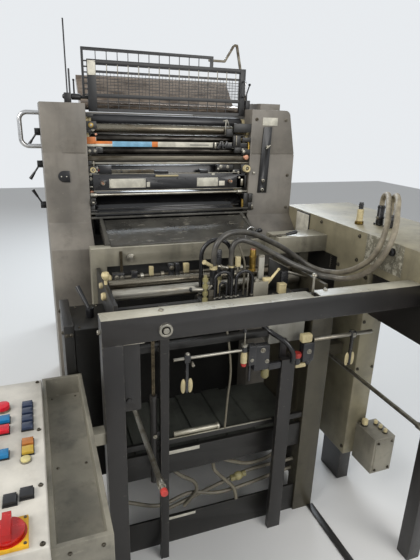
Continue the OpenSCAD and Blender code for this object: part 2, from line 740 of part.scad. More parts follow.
// The rods across the front with clamps and paddles for the sheet guides
module guide_rods() {
    paddle_xs = [-170, 498];
    y0 = clamp_y - 16;
    y1 = clamp_y + 16;
    stem_z = clamp_z - 78;
    color([0.7, 0.7, 0.68]) {
        xrod(-218, 54, [clamp_y, clamp_z], 5.5);
        xrod(324, 586, [clamp_y, clamp_z], 8);
    }
    color([0.1, 0.1, 0.1]) {
        block(54, 85, y0, y1, clamp_z - 60, clamp_z + 16);
        block(76, 138, y0, y1, clamp_z - 86, clamp_z + 13);
        block(138, 190, y0 + 4, y1 - 10, guide_top - 32, guide_top - 6);
        zrod(67, clamp_y, clamp_z - 128, clamp_z - 60, 5);
        block(275, 324, y0, y1, clamp_z - 81, clamp_z - 3);
        block(245, 275, clamp_y - 5, clamp_y + 5, guide_top - 26, guide_top - 6);
        zrod(260, clamp_y, clamp_z - 90, clamp_z - 62, 14);
        for (x = paddle_xs) {
            block(x - 11, x + 11, clamp_y - 12, clamp_y + 12, clamp_z - 14, clamp_z + 14);
            block(x - 5, x + 5, clamp_y - 6, clamp_y + 6, stem_z, clamp_z - 14);
        }
        block(32, 54, clamp_y - 12, clamp_y + 12, clamp_z - 6, clamp_z + 16);
    }
    color([0.82, 0.74, 0.55]) {
        for (x = paddle_xs) block(x - 22, x + 22, clamp_y - 4, clamp_y + 4, stem_z - 58, stem_z);
        block(30, 54, clamp_y - 8, clamp_y + 8, clamp_z - 50, clamp_z - 6);
        block(268, 312, y0 + 2, y1 - 4, clamp_z - 3, clamp_z + 30);
        block(254, 300, clamp_y - 6, clamp_y + 6, clamp_z - 108, clamp_z - 90);
    }
    color([0.35, 0.36, 0.3]) zrod(130, clamp_y, clamp_z - 126, clamp_z - 86, 15);
    color([0.7, 0.2, 0.15]) {
        zrod(42, clamp_y, clamp_z - 64, clamp_z - 50, 10);
        zrod(260, clamp_y, clamp_z - 62, clamp_z - 44, 14.5);
    }
}

// The pile table with its two runners and shoes
table_y0 = inner_y + inner_t + 10;
table_y1 = ry - 10;
module pile_table() {
    x0 = -inner_left + inner_lw;
    x1 = inner_right - wall_t;
    color([0.1, 0.11, 0.11]) {
        block(x0 + 12, x1 - 12, table_y0, table_y1, table_z, table_z + table_t);
        for (y = [table_y0 + 60, table_y1 - 100]) block(x0 + gap, x1 - gap, y, y + 40, table_z - 40, table_z);
        for (i = [0:4]) block(x0 + 60 + i * 130, x0 + 150 + i * 130, table_y0, table_y1, table_z + table_t,
            table_z + table_t + 10);
    }
}

// The suction head over the pile: its plate on two rods, the sucker bar and the pipe sockets
module suction_head() {
    under = head_z - head_t;
    rod_at = [-1010, head_z - head_t / 2];
    bar_at = [-1030, 925];
    color([0.14, 0.14, 0.14]) {
        block(head_x0, head_x1, head_y0, head_y1, under, head_z);
        xrod(-inner_left + inner_lw, head_x0, rod_at, 8);
        xrod(head_x1, inner_right - wall_t, rod_at, 8);
        for (p = [hose_upper_route, hose_lower_route])
            zrod(p[len(p) - 1][0], p[len(p) - 1][1], head_z, socket_z, hose_r + 1);
        for (x = [0, 250]) block(x, x + 20, bar_at[0] - 6, bar_at[0] + 6, bar_at[1], under);
        xrod(-20, 290, bar_at, 9);
        for (x = [30:60:210]) zrod(x, bar_at[0], 896, bar_at[1], 7);
    }
}

// The valves, fittings and stops that stand on the head, and the rod behind the rollers
module suction_valves() {
    color([0.45, 0.44, 0.4]) {
        xrod(-inner_left + inner_lw, inner_right - wall_t, [-790, wall_top - 16], 7);
        block(185, 208, -1008, -994, head_z, 1124);
        block(box_x0, box_x1, box_y, -1108, box_z, head_z - 4);
        block(230, 250, -1108, head_y0, head_z - head_t, head_z - 4);
        block(-34, -14, -1046, -1026, head_z, head_z + 44);
    }
    color([0.12, 0.12, 0.12]) {
        zrod(160, -1000, head_z, 1066, 9);
        // The slanted stop plate
        translate([0, -979, 0]) rotate([90, 0, 0]) linear_extrude(6)
            polygon([[240, head_z], [330, head_z], [330, 1056], [240, 1104]]);
    }
    color([0.6, 0.5, 0.25]) zrod(160, -1000, 1066, 1150, 12);
    color([0.82, 0.76, 0.58]) {
        zrod(36, -970, head_z, head_z + 56, 8);
        block(262, 292, -1046, -1020, head_z, head_z + 34);
    }
}

// The short formed pipes that join the valves
module formed_pipes() {
    color([0.08, 0.08, 0.08]) {
        standing_loop(-40, 82, -972, head_z, 1190, 8);
        standing_loop(-8, 60, -1038, head_z, 1083, 6);
        standing_loop(12, 40, -1038, head_z, 1042, 4);
        standing_loop(78, 146, -1038, head_z, 1080, 6);
    }
}

module feed_roller(at, r) {
    x0 = -inner_left + inner_lw;
    x1 = inner_right - wall_t;
    xrod(x0 + roller_gap, x1 - roller_gap, at, r);
    xrod(x0 - wall_t + 1, x1 + wall_t - 1, at, journal_r);
}
module feed_roller_front() { color([0.45, 0.45, 0.46]) feed_roller(feed_front_at, feed_r + 2); }
module feed_roller_back() { color([0.55, 0.5, 0.42]) feed_roller(feed_back_at, feed_r - 2); }

module hose_upper() { color([0.33, 0.33, 0.33]) swept_tube(hose_upper_route, hose_r); }
module hose_lower() { color([0.33, 0.33, 0.33]) swept_tube(hose_lower_route, hose_r); }

// The cabinet beside the feeder and the column under it
module side_cabinet() {
    color([0.42, 0.43, 0.39]) {
        block(cab_x, cab_x + cabinet_w, cab_y0, cab_y1, cab_z, cabinet_h);
        block(cab_x, cab_x + col_w, col_y0, col_y1, col_z, cab_z);
    }
    color([0.13, 0.13, 0.13]) for (ys = [[cab_y0, col_y0 - 10], [col_y1 + 10, cab_y1 - 10]])
        block(cab_x + 12, cab_x + cabinet_w - leg_w - 10, ys[0], ys[1], skirt_z, cab_z);
    color([0.1, 0.1, 0.1]) block(cab_x + 20, cab_x + col_w - 20, col_y0 + 40, col_y1 - 40, 0, col_z);
}

// What stands on the cabinet: two hose plugs, a cable plug, and a bare white plate at its side
plug_at = [695, -920];
module cabinet_fittings() {
    color([0.06, 0.06, 0.06]) {
        for (p = [hose_upper_route[0], hose_lower_route[0]]) {
            zrod(p[0], p[1], cabinet_h, p[2], hose_r + 4);
            zrod(p[0], p[1], cabinet_h + 28, cabinet_h + 38, hose_r + 7);
        }
        zrod(plug_at[0], plug_at[1], cabinet_h + 66, cabinet_h + 94, 9);
        block(cab_x - 4, cab_x, -656, -536, cabinet_h - 117, cabinet_h - 5);
    }
    color([0.85, 0.8, 0.6]) zrod(plug_at[0], plug_at[1], cabinet_h + 14, cabinet_h + 66, 13);
    color([0.4, 0.38, 0.33]) zrod(plug_at[0], plug_at[1], cabinet_h, cabinet_h + 14, 17);
    color([0.85, 0.85, 0.78]) block(cab_x - 8, cab_x, -650, -542, cabinet_h - 111, cabinet_h - 11);
}

// The small terminal box on the column, with its glands
module junction_box() {
    x0 = cab_x + 52;
    x1 = x0 + 106;
    y0 = col_y0 - 130;
    color([0.3, 0.31, 0.31]) {
        block(x0, x1, y0, col_y0, 162, 338);
        block(x0 + 10, x1 - 10, y0 - 4, y0, 172, 328);
    }
    color([0.7, 0.68, 0.6]) {
        for (y = [y0 + 30, y0 + 62, y0 + 94]) zrod(x0 + 76, y, 338, 358, 8);
        zrod(x0 + 24, y0 + 104, 338, 368, 13);
        for (y = [y0 + 30, y0 + 70, y0 + 110]) zrod(x0 + 50, y, 146, 162, 8);
        xrod(x1, x1 + 18, [y0 + 60, 240], 9);
    }
}

// The control console with its sloping panel, and its stand
module console() {
    x0 = con_x1 - console_w;
    color([0.62, 0.63, 0.6]) {
        translate([x0, 0, 0]) rotate([90, 0, 90]) linear_extrude(console_w)
            polygon([[con_y0, 600], [con_y1, 600], [con_y1, console_h], [con_y0, console_h]]);
        block(x0 + 60, con_x1 - 40, con_y0 + 60, con_y1 - 60, 30, 600);
    }
    color([0.2, 0.2, 0.2]) block(x0 + 40, con_x1 - 20, con_y0 + 40, con_y1 - 40, 0, 30);
}

// The lit push buttons of the console and the yellow plate under its main switch
btn_z = console_h;
switch_at = [-716, -1747];
module button(x, y, w, d, h = 12) {
    block(x - w / 2, x + w / 2, y - d / 2, y + d / 2, btn_z, btn_z + h);
}
module console_buttons() {
    color([0.2, 0.22, 0.3]) {
        for (i = [0:3]) button(-679, -1275 - i * 36, 28, 26);
        button(-715, -1648, 28, 29);
        button(-680, -1638, 28, 29);
    }
    color([0.85, 0.62, 0.2]) button(-678, -1453, 28, 26);
    color([0.9, 0.75, 0.2]) button(-678, -1487, 28, 26);
    color([0.85, 0.84, 0.8]) zrod(-683, -1518, btn_z, btn_z + 8, 12);
    color([0.8, 0.08, 0.12]) {
        zrod(-746, -1273, btn_z, btn_z + 18, 19);
        button(-741, -1381, 32, 30, 14);
    }
    color([0.1, 0.35, 0.7]) for (at = [[-741, -1334], [-739, -1486]]) button(at[0], at[1], 32, 28, 14);
    color([0.9, 0.72, 0.1]) button(switch_at[0], switch_at[1], 80, 80, 10);
}

// The red knob of the rotary main switch
module main_switch() {
    color([0.75, 0.1, 0.08]) translate([switch_at[0], switch_at[1], btn_z + 10 + gap]) {
        cylinder(h = 10, r = 34, $fn = smooth);
        translate([-9, -31, 10]) cube([18, 62, 18]);
    }
}

// The long tray between the console and the feeder's post
module tool_tray() {
    t = 12;
    y0 = con_y0 + 20;
    y1 = con_y1 + 60;
    color([0.4, 0.4, 0.38]) difference() {
        block(con_x1, tray_x1, y0, y1, 690, 768);
        block(con_x1 + t, tray_x1 - t, y0 + t, y1 - t, 700, 769);
    }
    color([0.4, 0.4, 0.38]) block(tray_x1, -post_left, fy + 10, fyb - 10, 700, 740);
}

// The dark drive boxes on the feeder's left side
drive_top = 925;
drive_x = -520;
module feeder_drive() {
    wall_x = -inner_left + inner_lw - wall_t;
    color([0.1, 0.1, 0.11]) {
        block(drive_x - 34, drive_x, -1058, -800, 300, drive_top + 20);
        block(drive_x, wall_x, -1053, -830, 300, drive_top);
    }
}

// The clamp lever on the drive box: a round hub and a tapered grip
module clamp_lever() {
    hub_h = 36;
    color([0.05, 0.05, 0.06]) translate([-455, -950, drive_top + gap]) {
        cylinder(h = hub_h, r = 14, $fn = smooth);
        translate([0, 0, hub_h - 10]) rotate([0, 40, 123]) cylinder(h = 98, r1 = 6, r2 = 9, $fn = 32);
    }
}

// The flat pallet rail on the floor in front of the right inner post
module floor_rail() {
    color([0.09, 0.09, 0.09]) block(410, 440, fy - 150, inner_y, 0, 8);
}

// The delivery behind the unit: open side frames, beams with rods, and a slatted table
del_z = delivery_h - 70;
module delivery_sides() {
    color([0.36, 0.36, 0.33]) for (s = [-1, 1]) {
        x0 = s < 0 ? xl - 60 : xr;
        block(x0, x0 + 60, yb, yb + 60, 0, delivery_h);
        block(x0, x0 + 60, delivery_reach - 60, delivery_reach, 0, delivery_h);
        block(x0, x0 + 60, yb + 60, delivery_reach - 60, del_z - 120, delivery_h);
        block(x0, x0 + 60, yb + 60, delivery_reach - 60, 40, 110);
    }
}
module delivery_beams() {
    color([0.2, 0.2, 0.2]) {
        block(xl, xr, delivery_reach - 50, delivery_reach - 10, del_z, delivery_h - 10);
        block(xl, xr, yb, yb + 40, del_z, delivery_h - 10);
        for (y = [yb + 180, yb + 320, yb + 460, yb + 600]) xrod(xl, xr, [y, delivery_h - 40], 9);
    }
}
module delivery_table() {
    color([0.12, 0.12, 0.12]) {
        block(xl - 52, xr + 52, yb + 66, delivery_reach - 66, 110, 134);
        for (i = [0:5]) block(xl + 10 + i * 126, xl + 110 + i * 126, yb + 70, delivery_reach - 70, 134, 150);
    }
}

left_housing();
right_housing();
bed_panel();
back_cover();
ink_duct();
roller_brackets();
guard_frame();
guard_mesh();
guard_handle();
signal_rod();
bent_rail();
ink_roller_top();
ink_roller_steel();
ink_roller_third();
ink_roller_low();
scale_strip();
unit_ties();
dampener();
dampener_handle();
plate_cylinder();
feed_apron();
side_handle();
lever_upper();
lever_middle();
lever_lower();
housing_plates();
rear_portal();
front_beam();
front_post_left();
cabinet_legs();
side_wall_left();
side_wall_right();
cross_plates();
pile_guides();
carrier_rods();
rod_caps();
lift_chains();
guide_rods();
pile_table();
suction_head();
suction_valves();
formed_pipes();
feed_roller_front();
feed_roller_back();
hose_upper();
hose_lower();
side_cabinet();
cabinet_fittings();
junction_box();
console();
console_buttons();
main_switch();
tool_tray();
feeder_drive();
clamp_lever();
floor_rail();
delivery_sides();
delivery_beams();
delivery_table();
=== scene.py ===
# %% [markdown]
# # A sheet-fed offset press
#
# The press has four parts: a printing unit between two tall side housings, a pile feeder in front of it, a
# cabinet and a console beside the feeder, and a delivery behind. The solid model gives every piece its size and
# place, and this lesson gives them their looks. The first cell loads that model.

import itertools
import json
import math

import bmesh
import bpy
from mathutils import Matrix, Vector


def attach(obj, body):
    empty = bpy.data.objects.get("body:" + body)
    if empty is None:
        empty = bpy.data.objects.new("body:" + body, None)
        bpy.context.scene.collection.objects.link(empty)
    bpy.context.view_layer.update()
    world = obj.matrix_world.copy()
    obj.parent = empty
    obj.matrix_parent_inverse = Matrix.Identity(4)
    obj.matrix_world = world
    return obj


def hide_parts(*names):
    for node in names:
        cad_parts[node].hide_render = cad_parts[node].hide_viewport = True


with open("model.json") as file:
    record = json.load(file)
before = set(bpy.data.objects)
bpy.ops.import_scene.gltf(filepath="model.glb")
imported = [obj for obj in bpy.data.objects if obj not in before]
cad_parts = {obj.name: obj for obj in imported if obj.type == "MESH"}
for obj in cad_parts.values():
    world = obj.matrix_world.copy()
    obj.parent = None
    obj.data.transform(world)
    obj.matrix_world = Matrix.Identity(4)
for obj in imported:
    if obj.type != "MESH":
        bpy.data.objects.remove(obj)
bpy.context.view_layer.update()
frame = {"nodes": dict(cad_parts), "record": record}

# %% [markdown]
# ## The camera
#
# The photograph was taken with a phone held at eye height in front of the feeder, pointing down and to the right.
# Lines that are parallel on the press meet at vanishing points in the picture, and those give the direction and
# the focal length. The camera is built from three axes instead of angles, because a small roll is then easy to
# add.

# %% Set up the camera
EYE = Vector((-0.603, -2.57, 1.62))
TURN = math.radians(20.6)
DIP = math.radians(19.0)
ROLL = math.radians(1.75)
FOCAL_PIXELS = 470
PHOTO_HEIGHT = 560
SENSOR = 36.0

forward = Vector((math.sin(TURN) * math.cos(DIP), math.cos(TURN) * math.cos(DIP), -math.sin(DIP)))
level = Vector((math.cos(TURN), -math.sin(TURN), 0))
upward = level.cross(forward)
across = level * math.cos(ROLL) + upward * math.sin(ROLL)
along = upward * math.cos(ROLL) - level * math.sin(ROLL)

camera_data = bpy.data.cameras.new("photo_camera")
camera_data.sensor_width = SENSOR
camera_data.lens = SENSOR * FOCAL_PIXELS / PHOTO_HEIGHT
camera = bpy.data.objects.new("photo_camera", camera_data)
camera.matrix_world = Matrix.Translation(EYE) @ Matrix((across, along, -forward)).transposed().to_4x4()
bpy.context.collection.objects.link(camera)
bpy.context.scene.camera = camera
print("camera lens:", round(camera_data.lens, 1), "mm")

# %% [markdown]
# ## Wires for shader maths
#
# A material is a graph of nodes, and placing them one by one hides the idea behind them. Here a small class wraps
# the output of a node, and Python's operators add the Math nodes, so that a mask reads like the sum that it is. A
# second class is one material under construction. Colours are written as they look on a screen and are turned
# linear once.

# %% A class for a node's output and one for a material
EDGE_WIDTH = 0.004


class Wire:
    """The output of a node. Operators on it add Math nodes."""

    def __init__(self, finish, socket):
        self.finish = finish
        self.socket = socket

    def maths(self, operation, first, second):
        return self.finish.node("Math", {"operation": operation}, {0: first, 1: second})

    def __add__(self, other):
        return self.maths("ADD", self, other)

    def __rsub__(self, other):
        return self.maths("SUBTRACT", other, self)

    def __mul__(self, other):
        return self.maths("MULTIPLY", self, other)

    __radd__ = __add__


    def ramp(self, low, high):
        """Rises from 0 at low to 1 at high."""
        return self.finish.node("MapRange", {"interpolation_type": "SMOOTHSTEP"},
                                {"Value": self, "From Min": low, "From Max": high})


def screen(red, green, blue):
    """A colour as a screen shows it, 0 to 255, as linear light."""
    levels = [level / 255 for level in (red, green, blue)]
    dark_limit = 10 / 255
    return tuple(c / 12.92 if c < dark_limit else ((c + 0.055) / 1.055) ** 2.4 for c in levels) + (1,)


class Finish:
    """One procedural material under construction."""

    def __init__(self, name, colour, roughness, metallic=0.0):
        self.material = bpy.data.materials.new(name)
        self.material.use_nodes = True
        self.tree = self.material.node_tree
        self.shader = self.tree.nodes["Principled BSDF"]
        self.set(**{"Base Color": colour, "Roughness": roughness, "Metallic": metallic})

    def feed(self, socket, value):
        if isinstance(value, Wire):
            self.tree.links.new(value.socket, socket)
        else:
            socket.default_value = value

    def set(self, **sockets):
        for name, value in sockets.items():
            self.feed(self.shader.inputs[name], value)

    def node(self, kind, settings, inputs, output=0):
        node = self.tree.nodes.new("ShaderNode" + kind)
        for name, value in settings.items():
            setattr(node, name, value)
        for name, value in inputs.items():
            self.feed(node.inputs[name], value)
        return Wire(self, node.outputs[output])

    def where(self, stretch=(1, 1, 1)):
        """Object coordinates, stretched for a grain that runs one way."""
        place = self.node("TexCoord", {}, {}, "Object")
        return self.node("Mapping", {}, {"Vector": place, "Scale": stretch})

    def axis(self, letter):
        return self.node("SeparateXYZ", {}, {"Vector": self.where()}, letter)

    def noise(self, scale, stretch=(1, 1, 1), detail=4.0, rough=0.55):
        return self.node("TexNoise", {}, {"Vector": self.where(stretch), "Scale": scale, "Detail": detail,
                                          "Roughness": rough}, "Fac")

    def blend(self, factor, first, second):
        return self.node("Mix", {"data_type": "RGBA", "clamp_factor": True}, {0: factor, 6: first, 7: second}, 2)

    def bump(self, height, depth, strength=0.6):
        """Raises the surface by depth metres where height is 1."""
        self.set(Normal=self.node("Bump", {}, {"Height": height, "Distance": depth, "Strength": strength}))

    def edges(self):
        """1 on an outer or inner edge, 0 on a flat face."""
        rounded = self.node("Bevel", {"samples": 4}, {"Radius": EDGE_WIDTH})
        flat = self.node("NewGeometry", {}, {}, "True Normal")
        same = self.node("VectorMath", {"operation": "DOT_PRODUCT"}, {0: rounded, 1: flat}, "Value")
        return (1 - same).ramp(0.01, 0.16)


print("shader helpers ready; mid grey on a screen is", round(screen(128, 128, 128)[0], 3), "in linear light")

# %% [markdown]
# ## Paint that has worked for years
#
# Machine paint isn't one colour. It is a little mottled, its sheen is uneven from wiping, oil and ink darken it
# in soft patches, and it is rubbed through to grey metal along the edges that hands and tools touch. One function
# makes all the paints of the press, with the amounts as its arguments, so that they look like one family.

# %% The paints
def paint(name, colour, roughness=0.45, dirt=0.35, wear=0.6, rubbed=(150, 146, 136), grime=(34, 31, 26)):
    finish = Finish(name, screen(*colour), roughness)
    mottle = finish.noise(5.0, detail=6.0)
    soot = finish.noise(11.0, detail=8.0, rough=0.7).ramp(0.52, 0.78) * dirt
    runs = finish.noise(9.0, (2.2, 2.2, 0.25)).ramp(0.5, 0.75) * (dirt * 0.6)
    lighter = tuple(min(255, c * 1.14) for c in colour)
    darker = tuple(c * 0.86 for c in colour)
    tone = finish.blend(mottle.ramp(0.3, 0.7), screen(*darker), screen(*lighter))
    tone = finish.blend(soot + runs, tone, screen(*grime))
    worn = finish.edges() * finish.noise(38.0, detail=8.0, rough=0.75).ramp(0.48, 0.6) * wear
    scratches = finish.noise(30.0, (1, 14, 3), detail=2.0).ramp(0.7, 0.74) * (wear * 0.35)
    tone = finish.blend(worn + scratches, tone, screen(*rubbed))
    finish.set(**{"Base Color": tone})
    finish.set(Roughness=roughness - 0.12 + mottle * 0.2 + soot * 0.25)
    finish.bump(finish.noise(420.0, detail=2.0) + mottle * 0.5, 0.0004)
    return finish.material


housing_paint = paint("housing_paint", (112, 107, 99))
portal_paint = paint("portal_paint", (122, 118, 104), dirt=0.5)
frame_paint = paint("frame_paint", (33, 31, 30), roughness=0.38, dirt=0.3, rubbed=(128, 124, 114), grime=(20, 18, 16))
cabinet_paint = paint("cabinet_paint", (138, 131, 108), roughness=0.42)
console_paint = paint("console_paint", (198, 194, 184), roughness=0.33, dirt=0.2, wear=0.4, rubbed=(228, 226, 220),
                      grime=(120, 110, 92))
cast_paint = paint("cast_paint", (30, 29, 27), roughness=0.4, dirt=0.5, rubbed=(84, 78, 66), grime=(12, 11, 10))
wall_paint = paint("wall_paint", (66, 62, 50), roughness=0.45, dirt=0.6, rubbed=(118, 108, 84), grime=(28, 24, 18))
enamel_paint = paint("enamel_paint", (40, 40, 42), roughness=0.25, dirt=0.3, wear=0.5, grime=(18, 17, 16))
guard_paint = paint("guard_paint", (24, 24, 25), roughness=0.42, dirt=0.1, wear=0.3, rubbed=(92, 92, 94))
table_paint = paint("table_paint", (74, 76, 70), roughness=0.5, dirt=0.5, rubbed=(98, 100, 98), grime=(20, 20, 19))
box_paint = paint("box_paint", (132, 128, 115), roughness=0.5, dirt=0.45, rubbed=(170, 165, 150))
plate_grey = paint("plate_grey", (158, 156, 146), roughness=0.42, dirt=0.4, wear=0.5)
# A pale paint for the top faces of the portal and the front beam: painted light on those tops, with some dust.
lit_and_dusty_top = paint("lit_and_dusty_top", (168, 164, 148), roughness=0.3, dirt=0.25, wear=0.5, rubbed=(196, 192, 178))
lichen_paint = paint("lichen_paint", (118, 114, 98), roughness=0.62, dirt=0.9, wear=0.95, rubbed=(176, 172, 156),
                     grime=(62, 58, 46))
print("paints:", len(bpy.data.materials))

# %% [markdown]
# ## Bare metal, ink and rubber
#
# Ground rollers carry fine lines round their girth, so the noise is stretched across them. Ink leaves a thin
# brown or black film that is glossier than the steel below it. Rods are polished, rubber is dull with a faint
# bloom, and brass is dark where the oil has stayed.

# %% The metals
def steel(name, colour, roughness, film, film_colour, grain=(1, 60, 60), metallic=0.9):
    finish = Finish(name, screen(*colour), roughness, metallic)
    lines = finish.noise(24.0, grain, detail=3.0)
    patches = finish.noise(8.0, (1.0, 3.0, 3.0), detail=6.0, rough=0.65)
    shade = tuple(c * 0.78 for c in colour)
    tone = finish.blend(lines.ramp(0.35, 0.65), screen(*shade), screen(*colour))
    tone = finish.blend(patches.ramp(0.42, 0.66) * film, tone, screen(*film_colour))
    finish.set(**{"Base Color": tone})
    finish.set(Roughness=roughness - 0.08 + lines * 0.12 + patches * 0.14)
    finish.bump(lines, 0.0002, 0.4)
    return finish.material


chrome = steel("chrome", (214, 214, 214), roughness=0.16, film=0.35, film_colour=(120, 112, 98), metallic=1.0)
bright_steel = steel("bright_steel", (176, 172, 160), roughness=0.28, film=0.6, film_colour=(96, 84, 62))
dull_steel = steel("dull_steel", (112, 107, 96), roughness=0.38, film=0.8, film_colour=(52, 44, 32))
brown_roller = steel("brown_roller", (136, 130, 116), roughness=0.22, film=0.7, film_colour=(88, 76, 60))
duct_steel = steel("duct_steel", (158, 142, 126), roughness=0.2, film=0.8, film_colour=(70, 58, 48),
                   grain=(1, 30, 30))
dusty_steel = steel("dusty_steel", (196, 192, 176), roughness=0.42, film=0.5, film_colour=(120, 112, 92))
inked_roller = steel("inked_roller", (88, 84, 78), roughness=0.24, film=0.9, film_colour=(30, 26, 24))
brass = steel("brass", (176, 146, 74), roughness=0.32, film=0.7, film_colour=(84, 68, 34))
copper = steel("copper", (216, 160, 132), roughness=0.3, film=0.5, film_colour=(120, 78, 58))
chain_steel = steel("chain_steel", (104, 94, 76), roughness=0.36, film=0.9, film_colour=(38, 32, 24),
                    grain=(30, 30, 30))
print("metals:", chrome.name, bright_steel.name, dull_steel.name, brass.name)

# %% The rubbers, plastics and ink
def moulded(name, colour, roughness, bloom):
    finish = Finish(name, screen(*colour), roughness)
    haze = finish.noise(14.0, detail=6.0, rough=0.65)
    pale = tuple(min(255, c * 1.25 + 14) for c in colour)
    dark = tuple(c * 0.8 for c in colour)
    tone = finish.blend(haze.ramp(0.35, 0.7), screen(*dark), screen(*colour))
    tone = finish.blend(finish.noise(31.0, detail=8.0, rough=0.7).ramp(0.55, 0.75) * bloom, tone, screen(*pale))
    finish.set(**{"Base Color": tone})
    finish.set(Roughness=roughness - 0.06 + haze * 0.14)
    finish.bump(finish.noise(260.0, detail=2.0), 0.0002, 0.35)
    return finish.material


roller_rubber = moulded("roller_rubber", (52, 52, 54), roughness=0.3, bloom=0.2)
pipe_rubber = moulded("pipe_rubber", (30, 29, 30), roughness=0.25, bloom=0.2)
grey_rubber = moulded("grey_rubber", (120, 114, 98), roughness=0.45, bloom=0.4)
ink_gloss = moulded("ink_gloss", (24, 24, 25), roughness=0.14, bloom=0.1)
black_plastic = moulded("black_plastic", (26, 26, 28), roughness=0.3, bloom=0.15)
cream_plastic = moulded("cream_plastic", (222, 206, 158), roughness=0.42, bloom=0.2)
white_plate = moulded("white_plate", (226, 222, 206), roughness=0.38, bloom=0.1)
red_plastic = moulded("red_plastic", (206, 24, 18), roughness=0.26, bloom=0.12)
cap_red = moulded("cap_red", (196, 62, 54), roughness=0.5, bloom=0.3)
yellow_plate = moulded("yellow_plate", (240, 182, 20), roughness=0.34, bloom=0.12)
orange_lens = moulded("orange_lens", (206, 128, 58), roughness=0.22, bloom=0.1)
amber_lens = moulded("amber_lens", (232, 192, 72), roughness=0.22, bloom=0.1)
pale_lens = moulded("pale_lens", (240, 226, 158), roughness=0.2, bloom=0.1)
blue_lens = moulded("blue_lens", (46, 58, 84), roughness=0.18, bloom=0.2)
bright_blue_lens = moulded("bright_blue_lens", (28, 132, 190), roughness=0.2, bloom=0.1)
red_lens = moulded("red_lens", (226, 18, 44), roughness=0.2, bloom=0.1)
orange_field = moulded("orange_field", (232, 132, 58), roughness=0.42, bloom=0.1)
blue_field = moulded("blue_field", (138, 194, 226), roughness=0.42, bloom=0.1)
olive_plastic = moulded("olive_plastic", (150, 142, 98), roughness=0.42, bloom=0.3)
print("moulded finishes:", len(bpy.data.materials), "materials in all")

# %% The dusty hoses and the scuffed apron
def dusty_rubber():
    """Dark rubber that turns pale with dust towards the cabinet."""
    finish = Finish("hose_rubber", screen(72, 70, 64), 0.4)
    dust = finish.axis("X").ramp(0.42, 0.62)
    patches = finish.noise(30.0, detail=6.0).ramp(0.35, 0.7)
    clean = finish.blend(patches, screen(58, 56, 53), screen(84, 81, 74))
    dusty = finish.blend(patches, screen(128, 119, 102), screen(166, 156, 134))
    finish.set(**{"Base Color": finish.blend(dust, clean, dusty)})
    finish.set(Roughness=dust * 0.26 + 0.34)
    return finish.material


def scuffed_sheet():
    """Dark sheet metal that sliding paper has scuffed in pale patches."""
    finish = Finish("scuffed_plate", screen(74, 72, 68), 0.3)
    mottle = finish.noise(6.0, detail=6.0).ramp(0.3, 0.7)
    scuffs = finish.noise(12.0, (1.0, 2.4, 2.4), detail=9.0, rough=0.75).ramp(0.57, 0.68)
    tone = finish.blend(mottle, screen(52, 51, 48), screen(88, 86, 80))
    finish.set(**{"Base Color": finish.blend(scuffs * 0.5, tone, screen(186, 180, 164))})
    finish.set(Roughness=scuffs * 0.3 + 0.26)
    return finish.material


hose_rubber = dusty_rubber()
scuffed_plate = scuffed_sheet()
print("special finishes:", hose_rubber.name, scuffed_plate.name)

# %% [markdown]
# ## Small tools for modelling
#
# Every piece below starts from a bmesh shape: a cone operator makes bars, nuts and knobs, a cube makes blocks,
# and a ring of vertices that is extruded along a route makes hoses and pipes. No real edge is perfectly sharp, so
# blocks and bars get a small bevel. The last helper turns the mesh into an object that rides on one body of the
# model.

# %% Bars, blocks and finished pieces
def sharp_edges(verts, angle):
    edges = {edge for vert in verts for edge in vert.link_edges}
    return [e for e in edges if len(e.link_faces) == 2 and e.calc_face_angle(0) > angle]


def soften(form, verts, width, angle=0.6):
    """Bevels the edges of some vertices where the faces turn by more than the angle, in radians."""
    bmesh.ops.bevel(form, geom=sharp_edges(verts, angle), offset=width, offset_type="OFFSET", affect="EDGES",
                    segments=2, profile=0.5, material=-1, clamp_overlap=True)


def bar(form, start, end, radius, tip=None, sides=24, edge=0.0):
    """A round bar, or a cone where tip is another radius."""
    start, end = Vector(start), Vector(end)
    turn = (end - start).to_track_quat("Z", "Y").to_matrix().to_4x4()
    made = bmesh.ops.create_cone(form, cap_ends=True, segments=sides, radius1=radius,
                                 radius2=radius if tip is None else tip, depth=(end - start).length,
                                 matrix=Matrix.Translation((start + end) / 2) @ turn)
    if edge:
        soften(form, made["verts"], edge, angle=0.9)


def block(form, low, high, edge=0.0015, turn=None):
    """A block between two corners, with softened edges. turn is a matrix about its middle."""
    low, high = Vector(low), Vector(high)
    size = Matrix.Diagonal((*(high - low), 1))
    place = Matrix.Translation((low + high) / 2) @ (turn.to_4x4() if turn else Matrix.Identity(4)) @ size
    made = bmesh.ops.create_cube(form, size=1, matrix=place)
    if edge:
        soften(form, made["verts"], edge)


def ball(form, middle, radius, stretch=(1, 1, 1), detail=12):
    place = Matrix.Translation(middle) @ Matrix.Diagonal((*stretch, 1))
    bmesh.ops.create_uvsphere(form, u_segments=2 * detail, v_segments=detail, radius=radius, matrix=place)


def finished(form, name, material, body="root", angle=32):
    """Makes the object, with its normals outwards and its flat faces kept apart from its round ones."""
    bmesh.ops.recalc_face_normals(form, faces=form.faces)
    mesh = bpy.data.meshes.new(name)
    form.to_mesh(mesh)
    form.free()
    mesh.materials.append(material)
    mesh.shade_smooth()
    mesh.set_sharp_from_angle(angle=math.radians(angle))
    piece = bpy.data.objects.new(name, mesh)
    bpy.context.collection.objects.link(piece)
    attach(piece, body)
    return piece


print("modelling helpers ready")

# %% Routes and sweeps
def flowing(points, step):
    """The points of a smooth curve through some others, about a step apart."""
    points = [Vector(p) for p in points]
    ends = [2 * points[0] - points[1]] + points + [2 * points[-1] - points[-2]]
    route = []
    for a, b, c, d in zip(ends, ends[1:], ends[2:], ends[3:]):
        count = max(1, round((c - b).length / step))
        for i in range(count):
            t = i / count
            route.append(0.5 * (2 * b + (c - a) * t + (2 * a - 5 * b + 4 * c - d) * t ** 2
                                + (3 * b - a - 3 * c + d) * t ** 3))
    return route + [points[-1]]


